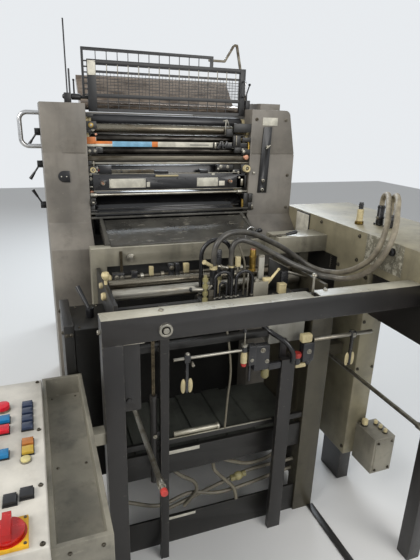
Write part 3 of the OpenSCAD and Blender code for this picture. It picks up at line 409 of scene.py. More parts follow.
def sweep(form, route, radius_at, sides=12):
    """Extrudes a ring along a route. radius_at gives the radius at each step."""
    heading = (route[1] - route[0]).normalized()
    turn = heading.to_track_quat("Z", "Y")
    place = Matrix.Translation(route[0]) @ turn.to_matrix().to_4x4()
    ring = bmesh.ops.create_circle(form, cap_ends=True, segments=sides, radius=radius_at(0), matrix=place)["verts"]
    edges = list({e for v in ring for e in v.link_edges})
    for i in range(1, len(route)):
        ahead = (route[min(i + 1, len(route) - 1)] - route[i - 1]).normalized()
        swing = heading.rotation_difference(ahead).to_matrix().to_4x4()
        made = bmesh.ops.extrude_edge_only(form, edges=edges)["geom"]
        verts = [v for v in made if isinstance(v, bmesh.types.BMVert)]
        edges = [e for e in made if isinstance(e, bmesh.types.BMEdge)]
        grow = Matrix.Scale(radius_at(i) / radius_at(i - 1), 4)
        bmesh.ops.transform(form, verts=verts, matrix=Matrix.Translation(route[i]) @ swing @ grow
                            @ Matrix.Translation(-route[i - 1]))
        heading = ahead
    bmesh.ops.contextual_create(form, geom=edges)


def pipe(form, points, radius, step=0.008, sides=12):
    sweep(form, flowing(points, step), lambda i: radius, sides)


print("routes and sweeps ready")

# %% [markdown]
# ## The two suction hoses
#
# Two ribbed hoses carry vacuum and air from the cabinet to the suction head. They stand up out of their sockets,
# turn over, drop behind the front beam and lift again to the head. Each is one ring swept along the same route as
# its solid, and every second ring is a little wider, which makes the ribs. The routes come first because their
# lengths are facts.

# %% Sweep the hoses
HOSE_RADIUS = 0.011
RIB_DEPTH = 0.0009
RIB_STEP = 0.0024
upper_route = [
    (0.771, -0.957, 1.292), (0.771, -0.957, 1.306), (0.764, -0.968, 1.326), (0.748, -0.996, 1.343),
    (0.72, -1.044, 1.35), (0.683, -1.095, 1.342), (0.645, -1.145, 1.319), (0.614, -1.185, 1.286),
    (0.587, -1.212, 1.248), (0.569, -1.22, 1.206), (0.557, -1.208, 1.16), (0.551, -1.172, 1.117),
    (0.539, -1.12, 1.076), (0.52, -1.062, 1.047), (0.497, -1.005, 1.035), (0.471, -0.975, 1.038),
    (0.438, -0.955, 1.053), (0.4, -0.942, 1.079), (0.356, -0.938, 1.108), (0.315, -0.942, 1.134),
    (0.253, -0.953, 1.166), (0.192, -0.966, 1.195), (0.141, -0.98, 1.213), (0.095, -0.992, 1.22),
    (0.054, -1.0, 1.217), (0.024, -1.006, 1.202), (0.004, -1.01, 1.178), (-0.004, -1.01, 1.144),
    (-0.004, -1.01, 1.115), (-0.004, -1.01, 1.09)]
lower_route = [
    (0.776, -1.012, 1.262), (0.776, -1.012, 1.284), (0.764, -1.022, 1.312), (0.748, -1.047, 1.338),
    (0.717, -1.096, 1.355), (0.678, -1.151, 1.347), (0.638, -1.2, 1.318), (0.606, -1.24, 1.283),
    (0.582, -1.262, 1.245), (0.562, -1.268, 1.202), (0.551, -1.252, 1.155), (0.547, -1.21, 1.101),
    (0.532, -1.155, 1.059), (0.51, -1.105, 1.035), (0.48, -1.066, 1.032), (0.44, -1.05, 1.038),
    (0.398, -1.042, 1.055), (0.356, -1.03, 1.072), (0.315, -1.018, 1.09), (0.266, -1.006, 1.118),
    (0.212, -1.002, 1.148), (0.17, -1.002, 1.17), (0.132, -1.002, 1.186), (0.106, -1.002, 1.191),
    (0.083, -1.002, 1.182), (0.071, -1.002, 1.158), (0.07, -1.002, 1.127), (0.07, -1.002, 1.09)]


def rib(i):
    return HOSE_RADIUS if i % 2 else HOSE_RADIUS - RIB_DEPTH


for name, points in (("hose_upper", upper_route), ("hose_lower", lower_route)):
    route = flowing(points, RIB_STEP)
    form = bmesh.new()
    sweep(form, route, rib, sides=16)
    hose = finished(form, "ribbed_" + name, hose_rubber, angle=60)
    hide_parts(name)
    length = sum((b - a).length for a, b in zip(route, route[1:]))
    [tuple(p) for p in route[::8] + [route[-1]]]
    print(name, "length", round(length, 3), "m in", len(route), "rings")

# %% [markdown]
# ## From solids to finished pieces
#
# Most of the press is plate, bar and casting, and its solids already have the right form. What they lack is the
# small round on every edge that catches the light, and more than one finish on a piece. So each gets a merged
# copy with bevelled edges, and zones, which are boxes in which the faces take another finish. The copy stands for
# the solid.

# %% Copy a solid with rounded edges and zones of finish
FLAT = math.radians(0.8)
SOLID_EDGE = 0.55
bodies_of = {node: body for body, nodes in frame["record"]["behaviour"]["bodies"].items() for node in nodes}


def dressed(node, finish, edge=0.0015, zones=()):
    """A copy of a solid. A zone is a finish with the low and high corner of its box."""
    form = bmesh.new()
    form.from_mesh(frame["nodes"][node].data)
    bmesh.ops.remove_doubles(form, verts=form.verts, dist=1e-5)
    bmesh.ops.dissolve_limit(form, angle_limit=FLAT, verts=form.verts, edges=form.edges)
    for face in form.faces:
        middle = face.calc_center_median()
        for number, (_, low, high) in enumerate(zones, 1):
            if all(a <= c <= b for a, c, b in zip(low, middle, high)):
                face.material_index = number
    if edge:
        soften(form, form.verts, edge, SOLID_EDGE)
    piece = finished(form, "dressed_" + node, finish, bodies_of[node])
    for zone in zones:
        piece.data.materials.append(zone[0])
    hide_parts(node)


print("solids to dress:", len(bodies_of))

# %% Dress the printing unit
WALL = 0.3795
dressed("left_housing", housing_paint, 0.004, [(cream_plastic, (-WALL, -0.43, 1.44), (-0.3, -0.3, 1.64)),
                                               (brass, (-WALL, -0.35, 1.14), (-0.3, -0.3, 1.22))])
dressed("right_housing", housing_paint, 0.004, [(cream_plastic, (0.3, -0.43, 1.44), (WALL, -0.3, 1.64)),
                                                (brass, (0.3, -0.35, 1.14), (WALL, -0.3, 1.22))])
dressed("bed_panel", cast_paint, 0.003)
dressed("back_cover", housing_paint, 0.002)
dressed("ink_duct", duct_steel, 0.0012)
dressed("roller_brackets", cast_paint, 0.001, [(brass, (-0.38, -0.47, 1.37), (-0.34, -0.4502, 1.42)),
                                              (brass, (-0.38, -0.47, 1.56), (-0.34, -0.4502, 1.6)),
                                              (cream_plastic, (0.33, -0.47, 1.37), (0.39, -0.4502, 1.42)),
                                              (bright_steel, (0.33, -0.47, 1.46), (0.36, -0.4502, 1.49))])
dressed("guard_frame", guard_paint, 0.0015)
dressed("guard_mesh", guard_paint, 0.0)
dressed("guard_handle", chrome, 0.0008)
dressed("signal_rod", guard_paint, 0.0008)
dressed("bent_rail", dull_steel, 0.0)
dressed("ink_roller_top", roller_rubber, 0.0015)
dressed("ink_roller_steel", brown_roller, 0.0015)
dressed("ink_roller_third", inked_roller, 0.0015)
dressed("ink_roller_low", inked_roller, 0.0015)
dressed("plate_cylinder", ink_gloss, 0.0015)
dressed("scale_strip", white_plate, 0.0004, [(black_plastic, (0.289, -1, 1.4), (0.39, 0, 1.6))])
dressed("unit_ties", bright_steel, 0.0008, [(dull_steel, (-0.4, -1, 1.43), (0.4, 0, 1.46)),
                                           (cast_paint, (-0.4, -1, 1.235), (0.4, 0, 1.272))])
dressed("dampener", enamel_paint, 0.002, [(white_plate, (-0.3, -0.4425, 1.3), (0.26, -0.4401, 1.36)),
                                         (copper, (-0.335, -0.46, 1.32), (-0.305, -0.4401, 1.36)),
                                         (copper, (0.27, -0.46, 1.32), (0.3, -0.4401, 1.36))])
dressed("dampener_handle", cream_plastic, 0.0005)
dressed("feed_apron", scuffed_plate, 0.0006)
dressed("side_handle", chrome, 0.0)
for lever in ("lever_upper", "lever_middle", "lever_lower"):
    dressed(lever, black_plastic, 0.0015)
dressed("housing_plates", black_plastic, 0.0008, [(bright_steel, (0.43, -0.47, 1.2), (0.48, -0.4555, 1.58)),
                                                 (white_plate, (0.43, -0.4535, 1.593), (0.56, -0.44, 1.632))])
print("printing unit dressed")

# %% Dress the feeder
# The pale zones on the top faces of the rear portal and the front beam are painted light from above, with some dust.
dressed("rear_portal", portal_paint, 0.002, [(lit_and_dusty_top, (-0.42, -0.82, 1.1045), (0.37, -0.64, 1.11)),
                                             (lit_and_dusty_top, (0.37, -0.82, 1.1365), (0.62, -0.68, 1.14)),
                                             (bright_steel, (-0.28, -0.72, 1.04), (-0.23, -0.6905, 1.09))])
dressed("front_beam", frame_paint, 0.003, [(lit_and_dusty_top, (-0.48, -1.41, 1.099), (0.62, -1.33, 1.101)),
                                           (bright_steel, (-0.32, -1.42, 1.03), (-0.27, -1.4005, 1.08))])
dressed("front_post_left", frame_paint, 0.002)
dressed("cabinet_legs", frame_paint, 0.002)
dressed("side_wall_left", cast_paint, 0.002)
dressed("side_wall_right", wall_paint, 0.002)
dressed("cross_plates", cast_paint, 0.001, [(white_plate, (-0.235, -1.1741, 0.11), (-0.09, -1.17, 0.46))])
dressed("pile_guides", frame_paint, 0.001)
dressed("carrier_rods", bright_steel, 0.0008)
dressed("rod_caps", cap_red, 0.0015)
dressed("pile_table", table_paint, 0.001)
dressed("suction_head", cast_paint, 0.001)
dressed("suction_valves", dull_steel, 0.001, [
    (plate_grey, (0.155, -1.179, 0.83), (0.31, -1.107, 0.972)),
    (plate_grey, (0.183, -1.01, 0.974), (0.2095, -0.99, 1.12)),
    (cast_paint, (0.23, -0.99, 0.97), (0.34, -0.97, 1.12)), (brass, (0.14, -1.02, 1.0665), (0.18, -0.98, 1.16)),
    (cream_plastic, (0.02, -0.985, 0.97), (0.05, -0.955, 1.04)),
    (cream_plastic, (0.26, -1.05, 0.974), (0.3, -1.01, 1.02))])
dressed("formed_pipes", pipe_rubber, 0.0)
dressed("feed_roller_front", bright_steel, 0.001)
dressed("feed_roller_back", brown_roller, 0.001)
dressed("floor_rail", frame_paint, 0.001)
dressed("feeder_drive", cast_paint, 0.003)
dressed("clamp_lever", black_plastic, 0.001)
print("feeder dressed")

# %% Dress the cabinet, the console and the delivery
# The two zones from z 0.87 to 1.058 paint the cabinet's recessed lower skirt dark: painted shade under the cabinet's
# top.
dressed("side_cabinet", cabinet_paint, 0.003, [(frame_paint, (0.6, -1.545, 0.87), (0.95, -1.12, 1.0579)),
                                              (cast_paint, (0.62, -0.895, 0.87), (0.95, -0.42, 1.0579)),
                                              (frame_paint, (0.6, -1.2, -0.1), (0.75, -0.8, 0.179))])
dressed("cabinet_fittings", black_plastic, 0.0008, [(white_plate, (0.6, -0.66, 1.09), (0.6139, -0.52, 1.21)),
                                                   (cream_plastic, (0.67, -0.94, 1.2215), (0.72, -0.9, 1.2725)),
                                                   (brass, (0.67, -0.94, 1.2), (0.72, -0.9, 1.2214))])
dressed("junction_box", box_paint, 0.002, [(cream_plastic, (0.66, -1.3, 0.3385), (0.8, -1.1, 0.38)),
                                          (cream_plastic, (0.66, -1.3, 0.1), (0.8, -1.1, 0.1615))])
dressed("console", console_paint, 0.004)
lenses = [(blue_lens, (-0.7, -1.4, 0.801), (-0.66, -1.255, 0.815)),
          (orange_lens, (-0.7, -1.467, 0.801), (-0.66, -1.439, 0.815)),
          (amber_lens, (-0.7, -1.501, 0.801), (-0.66, -1.473, 0.815)),
          (pale_lens, (-0.7, -1.535, 0.801), (-0.66, -1.501, 0.815)),
          (red_lens, (-0.77, -1.3, 0.801), (-0.72, -1.25, 0.82)),
          (red_lens, (-0.765, -1.4, 0.801), (-0.715, -1.362, 0.82)),
          (bright_blue_lens, (-0.765, -1.352, 0.801), (-0.715, -1.316, 0.82)),
          (bright_blue_lens, (-0.765, -1.505, 0.801), (-0.715, -1.468, 0.82)),
          (yellow_plate, (-0.76, -1.79, 0.8), (-0.67, -1.7, 0.812))]
dressed("console_buttons", black_plastic, 0.001, lenses)
dressed("main_switch", red_plastic, 0.0015)
dressed("tool_tray", box_paint, 0.001)
dressed("delivery_sides", housing_paint, 0.002)
dressed("delivery_beams", frame_paint, 0.001)
dressed("delivery_table", table_paint, 0.001)
print("cabinet, console and delivery dressed")

# %% [markdown]
# ## Turned and grouped pieces
#
# Knobs, screws, glands and bosses are round, so each is a profile of radii and heights that is spun round an
# axis. Small things of one finish that sit close together are made as one object from a list of rows. A row names
# a shape and gives its arguments, and places that repeat are written as the values that they take along each
# axis.

# %% Turned shapes
LEFTWARDS, RIGHTWARDS = (-1, 0, 0), (1, 0, 0)
FRONTWARDS, BACKWARDS = (0, -1, 0), (0, 1, 0)
DOWNWARDS, UPWARDS = (0, 0, -1), (0, 0, 1)
SCREW = [(0, -0.1), (1.5, -0.1), (1.5, 0.2), (1.0, 0.25), (1.0, 0.95), (0.85, 1.15), (0.52, 1.15), (0.52, 0.5),
         (0, 0.5)]
DOME = [(0, -0.1), (1.0, -0.1), (1.0, 0.25), (0.8, 0.6), (0.4, 0.82), (0, 0.88)]
RING = [(0.55, -0.05), (1.0, -0.05), (1.0, 0.45), (0.88, 0.6), (0.66, 0.6), (0.55, 0.5), (0.55, -0.05)]


def turned(form, base, direction, profile, sides=20):
    """Spins (radius, height) pairs round an axis that starts at base."""
    older = set(form.verts)
    points = [form.verts.new((radius, 0, height)) for radius, height in profile]
    edges = [form.edges.new(pair) for pair in zip(points, points[1:])]
    bmesh.ops.spin(form, geom=points + edges, cent=(0, 0, 0), axis=(0, 0, 1), dvec=(0, 0, 0), angle=math.tau,
                   steps=sides, use_merge=True)
    bmesh.ops.remove_doubles(form, verts=[v for v in form.verts if v not in older], dist=1e-6)
    turn = Vector(direction).to_track_quat("Z", "Y").to_matrix().to_4x4()
    bmesh.ops.transform(form, verts=[v for v in form.verts if v not in older], matrix=Matrix.Translation(base) @ turn)


def scaled(profile, size):
    return [(radius * size, height * size) for radius, height in profile]


def screw(form, base, radius, direction=FRONTWARDS):
    """A socket screw on its washer."""
    turned(form, base, direction, scaled(SCREW, radius))


def dome(form, base, radius, direction=FRONTWARDS):
    turned(form, base, direction, scaled(DOME, radius), 16)


def ring(form, base, radius, direction=FRONTWARDS):
    turned(form, base, direction, scaled(RING, radius), 24)


def sleeve(form, base, inner, outer, length, direction=UPWARDS):
    """A ring of square section round an axis."""
    turned(form, base, direction, [(inner, 0), (outer, 0), (outer, length), (inner, length), (inner, 0)], 24)


def hex_nut(form, base, radius, height, direction=FRONTWARDS):
    base = Vector(base)
    bar(form, base, base + Vector(direction).normalized() * height, radius, sides=6, edge=radius * 0.12)


def rod(form, start, end, radius, edge=0.0006):
    bar(form, start, end, radius, sides=16, edge=edge)


print("turned shapes ready")

# %% Rows, places and groups
FINISHES_OF_SLOT = {
    "guide_steel": (bright_steel, dull_steel, dusty_steel, copper, chrome),
    "fitting_cream": (cream_plastic, brass, olive_plastic),
    "knob_black": (black_plastic,),
    "cast_dark": (cast_paint, enamel_paint),
    "strip_white": (white_plate,),
    "guard_black": (guard_paint,),
    "pipe_rubber": (pipe_rubber, grey_rubber),
    "roller_rubber": (roller_rubber,),
    "cover_grey": (housing_paint, lichen_paint)}
slot_of = {finish.name: slot for slot, finishes in FINISHES_OF_SLOT.items() for finish in finishes}


def each(shape, places, *values):
    """Rows for the same shape at several places."""
    return [(shape, place, *values) for place in places]


def spots(*axes):
    """Places from the values along X, Y and Z. A single number counts for every place."""
    return list(itertools.product(*[axis if isinstance(axis, tuple) else (axis,) for axis in axes]))


def group(name, finish, rows, body="root", slot=None, node=None):
    """One object from a list of rows. It stands for a node, whose solid it hides."""
    form = bmesh.new()
    for shape, *values in rows:
        shape(form, *values)
    if not (slot or node):
        slot = slot_of[finish.name]
    piece = finished(form, name, finish, body)
    if node:
        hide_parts(node)


print("finishes with a slot of their own:", len(slot_of))

# %% [markdown]
# ## The guard
#
# The guard is a welded grid behind which a finer mesh keeps fingers away from the rollers. The solid holds the
# frame and the coarse wires. Here come the thin bright wires of the upper rows, the fine mesh of the middle
# field, the bare place of a plate, and the bent tube that stands on the right housing, which is one swept ring.

# %% Guard wires, mesh and tube
MESH_LEFT, MESH_RIGHT, COARSE = -0.32, 0.346, 0.046
WIRE_Y, PLATE_Y = -0.3645, -0.3716
wires_x = [MESH_LEFT + (i + 1) * COARSE / 3 for i in range(int((MESH_RIGHT - MESH_LEFT) / COARSE * 3))]
wires_z = [1.7105 + i * 0.012 for i in range(6)]
group("guard_fine_mesh", guard_paint,
      [(block, (x, -0.3625, 1.706), (x + 0.0014, -0.3611, 1.788), 0) for x in wires_x]
      + [(block, (MESH_LEFT, -0.364, z), (MESH_RIGHT, -0.3628, z + 0.0012), 0) for z in wires_z]
      + [(block, (MESH_LEFT, -0.365, 1.8185), (MESH_RIGHT, -0.361, 1.8265), 0.0006)], "guard")
group("guard_bright_wires", bright_steel,
      [(rod, (MESH_LEFT + i * COARSE, WIRE_Y, 1.777), (MESH_LEFT + i * COARSE, WIRE_Y, 1.8245), 0.0016, 0)
       for i in range(1, 15)], "guard")
group("guard_plate", white_plate, [(block, (-0.3545, PLATE_Y, 1.778), (-0.3215, -0.3699, 1.8345), 0.0004)], "guard")
group("guard_plate_pins", bright_steel,
      each(dome, spots((-0.351, -0.325), PLATE_Y, (1.7815, 1.831)), 0.0018), "guard")
group("guard_shaft_sleeve", guard_paint, [
    (turned, (-0.4485, -0.34, 1.69), RIGHTWARDS, [(0, -0.013), (0.006, -0.012), (0.01, -0.007), (0.0115, 0),
                                                  (0.0115, 0.0035), (0.007, 0.0035), (0, 0.0035)]),
    (turned, (-0.424, -0.34, 1.69), RIGHTWARDS, [(0.0071, 0), (0.012, 0), (0.013, 0.002), (0.013, 0.036),
                                                 (0.012, 0.038), (0.0071, 0.038), (0.0071, 0)])], "guard")
group("guard_catch", black_plastic, [
    (rod, (0.392, -0.345, 1.7045), (0.392, -0.345, 1.735), 0.004),
    (rod, (0.392, -0.345, 1.733), (0.405, -0.345, 1.772), 0.0032), (ball, (0.4055, -0.345, 1.776), 0.0065),
    (rod, (-0.411, -0.335, 1.701), (-0.411, -0.335, 1.755), 0.0035), (ball, (-0.411, -0.335, 1.757), 0.005)],
      slot="guard_black")

RAIL_Y = -0.28
RAIL = [(0.217, 1.877), (0.24, 1.877), (0.285, 1.877), (0.299, 1.881), (0.32, 1.914), (0.338, 1.943), (0.348, 1.9505),
        (0.358, 1.946), (0.372, 1.893), (0.396, 1.785), (0.4205, 1.6655)]
FOOT = [(0, 0), (0.014, 0), (0.014, 0.004), (0.012, 0.006), (0.006, 0.006), (0, 0.006)]
group("bent_tube", dull_steel, [(pipe, [(x, RAIL_Y, z) for x, z in RAIL], 0.0048, 0.006, 16),
                                (turned, (0.421, RAIL_Y, 1.664), UPWARDS, FOOT, 28)], node="bent_rail")
print("guard wires:", len(wires_x) + len(wires_z), "fine ones behind the coarse grid")

# %% [markdown]
# ## The ends of the rollers
#
# The rollers sit in small bearings whose screws, springs and levers crowd the two gaps beside the housings.
# Nobody reads them one by one, but without them the unit looks like a drawing. They are short turned shapes, each
# placed on its bracket or on the housing, grouped by finish.

# %% Left roller ends
group("left_bearing_caps", cream_plastic, [
    (turned, (-0.364, -0.4225, 1.5715), FRONTWARDS, [(0, 0), (0.0095, 0), (0.0105, 0.004), (0.009, 0.009),
                                                     (0.004, 0.012), (0, 0.0125)]),
    (turned, (-0.38, -0.416, 1.598), RIGHTWARDS, [(0, 0), (0.01, 0), (0.01, 0.012), (0.013, 0.014), (0.013, 0.02),
                                                  (0.008, 0.024), (0, 0.024)]),
    (ring, (-0.362, -0.459, 1.394), 0.0118)])
group("left_copper_parts", copper, [
    (rod, (-0.38, -0.43, 1.588), (-0.352, -0.43, 1.588), 0.006), (dome, (-0.3405, -0.44, 1.541), 0.006),
    (turned, (-0.368, -0.4235, 1.2925), FRONTWARDS, [(0, -0.01), (0.012, -0.01), (0.012, 0.006), (0.009, 0.01),
                                                     (0.004, 0.01), (0.004, 0.006), (0, 0.006)])])
group("left_end_screws", bright_steel, [
    (screw, (-0.352, -0.433, 1.559), 0.0045), (screw, (-0.371, -0.45, 1.473), 0.004),
    (screw, (-0.349, -0.45, 1.473), 0.004), (screw, (-0.362, -0.46, 1.578), 0.0035),
    (rod, (-0.357, -0.4515, 1.409), (-0.357, -0.4515, 1.431), 0.0032), (screw, (-0.344, -0.45, 1.4), 0.0035),
    (hex_nut, (-0.347, -0.45, 1.386), 0.0055, 0.005), (screw, (-0.37, -0.43, 1.353), 0.0045),
    (block, (-WALL, -0.4395, 1.368), (-0.366, -0.436, 1.38), 0.0006), (dome, (-0.362, -0.459, 1.394), 0.0055),
    (rod, (-0.379, -0.432, 1.254), (-0.368, -0.458, 1.254), 0.0058), (dome, (-0.3675, -0.459, 1.254), 0.0075),
    (rod, (-WALL, -0.44, 1.32), (-0.364, -0.44, 1.32), 0.003)])
group("left_end_blocks", cast_paint, [
    (block, (-WALL, -0.448, 1.61), (-0.349, -0.421, 1.626)), (block, (-WALL, -0.4395, 1.548), (-0.36, -0.415, 1.562)),
    (block, (-WALL, -0.442, 1.484), (-0.348, -0.429, 1.4895)),
    (block, (-0.343, -0.4425, 1.464), (-0.314, -0.415, 1.4855)),
    (block, (-WALL, -0.45, 1.413), (-0.365, -0.44, 1.4315)), (block, (-WALL, -0.457, 1.243), (-0.356, -0.451, 1.272)),
    (block, (-WALL, -0.447, 1.2), (-0.36, -0.44, 1.236)),
    (rod, (-WALL, -0.445, 1.217), (-0.352, -0.462, 1.217), 0.004),
    (ring, (-0.3675, -0.4575, 1.254), 0.0135)])
group("red_cap_screw", red_plastic, [(dome, (-0.341, -0.444, 1.3915), 0.0065)], slot="cap_red")
print("left roller ends made")

# %% Right roller ends
group("right_bearing_caps", cream_plastic, [
    (ring, (0.361, -0.462, 1.395), 0.0165),
    (turned, (0.38, -0.425, 1.527), LEFTWARDS, [(0, 0), (0.008, 0), (0.008, 0.036), (0.0065, 0.04), (0.0065, 0.052),
                                                (0.004, 0.054), (0, 0.054)]),
    (turned, (0.33, -0.421, 1.2875), FRONTWARDS, [(0, -0.01), (0.015, -0.01), (0.015, 0.006), (0.012, 0.01),
                                                  (0.005, 0.01), (0.005, 0.004), (0, 0.004)])])
group("right_end_pipes", brass, [
    (pipe, [(0.34, -0.434, 1.529), (0.358, -0.436, 1.528), (0.371, -0.438, 1.518), (0.3745, -0.44, 1.498),
            (0.3725, -0.442, 1.474), (0.366, -0.443, 1.457)], 0.0042, 0.005),
    (pipe, [(0.351, -0.448, 1.248), (0.352, -0.449, 1.225), (0.353, -0.448, 1.2)], 0.006, 0.006)])
group("right_copper_parts", copper, [
    (turned, (0.361, -0.44, 1.447), FRONTWARDS, [(0, 0), (0.013, 0), (0.014, 0.006), (0.011, 0.01), (0, 0.011)]),
    (rod, (0.2835, -0.454, 1.336), (0.2835, -0.464, 1.336), 0.0045)])
group("right_end_screws", bright_steel, [
    (screw, (0.342, -0.446, 1.479), 0.005), (dome, (0.361, -0.462, 1.395), 0.008),
    (screw, (0.235, -0.44, 1.403), 0.0055), (screw, (0.27, -0.44, 1.402), 0.005),
    (screw, (0.222, -0.44, 1.393), 0.0035), (screw, (0.303, -0.44, 1.38), 0.004),
    (screw, (0.327, -0.44, 1.375), 0.004), (hex_nut, (0.331, -0.44, 1.351), 0.006, 0.006),
    (rod, (0.306, -0.448, 1.502), (0.306, -0.448, 1.546), 0.0032),
    (rod, (0.241, -0.433, 1.608), (0.262, -0.433, 1.614), 0.0032),
    (rod, (0.262, -0.433, 1.614), (0.271, -0.433, 1.588), 0.0026),
    (rod, (0.256, -0.433, 1.612), (0.254, -0.433, 1.546), 0.0022),
    (block, (0.197, -0.448, 1.488), (0.207, -0.439, 1.514), 0.001),
    (block, (0.337, -0.452, 1.314), (0.349, -0.442, 1.346), 0.001),
    (block, (0.398, -0.4545, 1.368), (0.412, -0.45, 1.379), 0.0006),
    (block, (0.398, -0.453, 1.208), (0.409, -0.45, 1.218), 0.0006)])
group("right_end_blocks", cast_paint, [
    (block, (0.291, -0.448, 1.56), (WALL, -0.43, 1.6)), (block, (0.255, -0.44, 1.54), (0.291, -0.422, 1.575)),
    (block, (0.291, -0.446, 1.495), (0.33, -0.43, 1.545)), (block, (0.3, -0.444, 1.466), (0.336, -0.424, 1.492)),
    (block, (0.215, -0.44, 1.386), (0.3, -0.42, 1.412)), (block, (0.296, -0.44, 1.366), (0.345, -0.42, 1.39)),
    (block, (0.32, -0.44, 1.3), (0.372, -0.425, 1.362)), (block, (0.356, -0.454, 1.192), (WALL, -0.444, 1.278)),
    (block, (WALL, -0.46, 1.232), (0.402, -0.45, 1.276), 0.003),
    (block, (WALL, -0.457, 1.192), (0.4, -0.45, 1.232), 0.003)])
group("folded_clamp", enamel_paint, [
    (block, (x, -0.456, 1.484), (x + 0.0135, -0.444, 1.52), 0.0012, Matrix.Rotation(lean, 3, "Y"))
    for x, lean in ((0.214, 0.5), (0.229, -0.4), (0.244, 0.45))])
group("pale_slip", white_plate, [(block, (0.19, -0.4424, 1.3655), (0.204, -0.4403, 1.3735), 0)])
print("right roller ends made")

# %% [markdown]
# ## The colour strip and the dampening unit
#
# A thin strip with printed colour fields crosses the rollers. It is cut into its fields, each a short plate with
# its own finish, so that no picture is needed. Below it lies the dampening unit with its pale bare plates, its
# knobs, and the brackets and screws along its top edge.

# %% Colour strip
STRIP_FRONT, STRIP_BACK = -0.4365, -0.432
strip_rows = (("strip_orange", orange_field, ((-WALL, -0.342, 1.5, 1.53), (-0.342, -0.272, 1.502, 1.513),
                                              (-0.097, -0.07, 1.491, 1.513))),
              ("strip_blue", blue_field, ((-0.272, -0.097, 1.491, 1.513),)),
              ("strip_white", white_plate, ((-WALL, -0.272, 1.491, 1.502), (-0.07, 0.193, 1.491, 1.513))),
              ("strip_end", black_plastic, ((0.193, WALL, 1.487, 1.511),)))
for name, finish, fields in strip_rows:
    group(name, finish, [(block, (x0, STRIP_FRONT, z0), (x1, STRIP_BACK, z1), 0.0003) for x0, x1, z0, z1 in fields],
          slot="strip_white", node="scale_strip")
group("strip_line", enamel_paint, [(block, (0.08, -0.437, 1.4995), (0.172, STRIP_FRONT, 1.5025), 0)],
      slot="plate_black")
print("colour strip fields:", sum(len(fields) for _, _, fields in strip_rows))

# %% Dampening unit
DAMP_FRONT, DAMP_TOP = -0.44, 1.3745
group("dampener_top_plate", dull_steel, [(block, (-0.281, DAMP_FRONT, DAMP_TOP), (-0.089, -0.431, 1.393), 0.0008)],
      slot="dampener_dark")
group("dampener_brackets", black_plastic,
      [(block, (x0, -0.4445, DAMP_TOP), (x1, -0.415, z1), 0.0012)
       for x0, x1, z1 in ((-0.335, -0.281, 1.411), (-0.089, -0.024, 1.3885), (0.128, 0.17, 1.392))]
      + [(dome, (x, -0.4402, 1.384), r) for x, r in ((-0.257, 0.003), (-0.237, 0.005), (-0.203, 0.0035),
                                                     (-0.144, 0.0035))]
      + [(dome, (x, DAMP_FRONT, z), 0.0032) for x, z in ((-0.335, 1.355), (-0.335, 1.322), (0.06, 1.35),
                                                         (-0.07, 1.338), (0.02, 1.352))])
group("dampener_lips", bright_steel, [
    (block, (-0.36, -0.4425, 1.3735), (0.33, -0.4395, 1.3765), 0.0006),
    (rod, (-0.362, -0.443, 1.3015), (0.345, -0.443, 1.3015), 0.0022)]
      + each(ring, spots((-0.321, 0.283), -0.454, 1.336), 0.0088))
group("dampener_plate_pins", dull_steel, each(dome, spots((-0.288, -0.133), -0.442, (1.317, 1.35))
                                              + spots((0.121, 0.218), -0.442, (1.316, 1.348)), 0.0017))
group("cylinder_ledges", cast_paint, [(block, (-0.345, -0.458, 1.2075), (0.345, -0.444, 1.2095), 0.0006),
                                      (rod, (-0.35, -0.452, 1.2235), (0.33, -0.452, 1.2235), 0.0028)])
print("dampening unit made")

# %% [markdown]
# ## The suction head
#
# Air reaches the head through two ribbed hoses, and short formed pipes share it out between the valves. The head
# is crowded: cuffs and clamps round the hoses, a brass fitting, a grey valve with its lever, and a stack of cream
# spacers. Each is a turned profile or a short rod that stands on the head's plate.

# %% Cuffs, bands and clips
HEAD_TOP, HEAD_FRONT = 0.975, -1.052
hose_ends = (upper_route[-1][:2], lower_route[-1][:2])
group("hose_cuffs", black_plastic, each(sleeve, [(x, y, 1.058) for x, y in hose_ends], 0.0118, 0.0142, 0.028)
      + each(sleeve, [(x, y, HEAD_TOP) for x, y in hose_ends], 0.0118, 0.016, 0.01), slot="pipe_rubber")
group("hose_bands", cream_plastic, [
    (sleeve, (-0.004, -1.01, 1.088), 0.0112, 0.0148, 0.014),
    (rod, (-0.046, -1.029, 1.123), (-0.014, -1.018, 1.103), 0.007),
    (hex_nut, (-0.044, -1.028, 1.1215), 0.0098, 0.008, (-0.94, -0.32, 0.5)),
    (sleeve, (0.07, -1.002, 1.088), 0.0112, 0.0132, 0.006)])
group("cross_fitting", bright_steel, [
    (rod, (0.008, -1.02, 1.102), (0.04, -1.02, 1.094), 0.0056),
    (hex_nut, (0.018, -1.02, 1.1), 0.0085, 0.007, (1, 0, -0.25)), (ball, (0.046, -1.02, 1.0925), 0.0078)])
feet = [(-0.04, -0.972, 0.0082), (0.082, -0.972, 0.0082), (-0.008, -1.038, 0.0062), (0.06, -1.038, 0.0062),
        (0.012, -1.038, 0.0042), (0.04, -1.038, 0.0042), (0.078, -1.038, 0.0062), (0.146, -1.038, 0.0062)]
group("pipe_clips", bright_steel, [(sleeve, (x, y, HEAD_TOP + 0.006), r, r + 0.002, 0.006) for x, y, r in feet]
      + [(rod, (x + r + 0.001, y, HEAD_TOP + 0.009), (x + r + 0.007, y, HEAD_TOP + 0.009), 0.0022)
         for x, y, r in feet])
group("head_screws", dull_steel, each(screw, spots((-0.045, 0.03, 0.115, 0.205, 0.305), HEAD_FRONT, 0.965), 0.0045)
      + [(dome, (x, y, HEAD_TOP), 0.005, UPWARDS) for x, y in (
          (-0.05, -0.972), (0.1, -1.045), (0.125, -0.972), (0.18, -0.97), (0.238, -1.04), (0.318, -1.035),
          (0.31, -0.99))])
print("hose ends made, and", len(feet), "pipe clips")

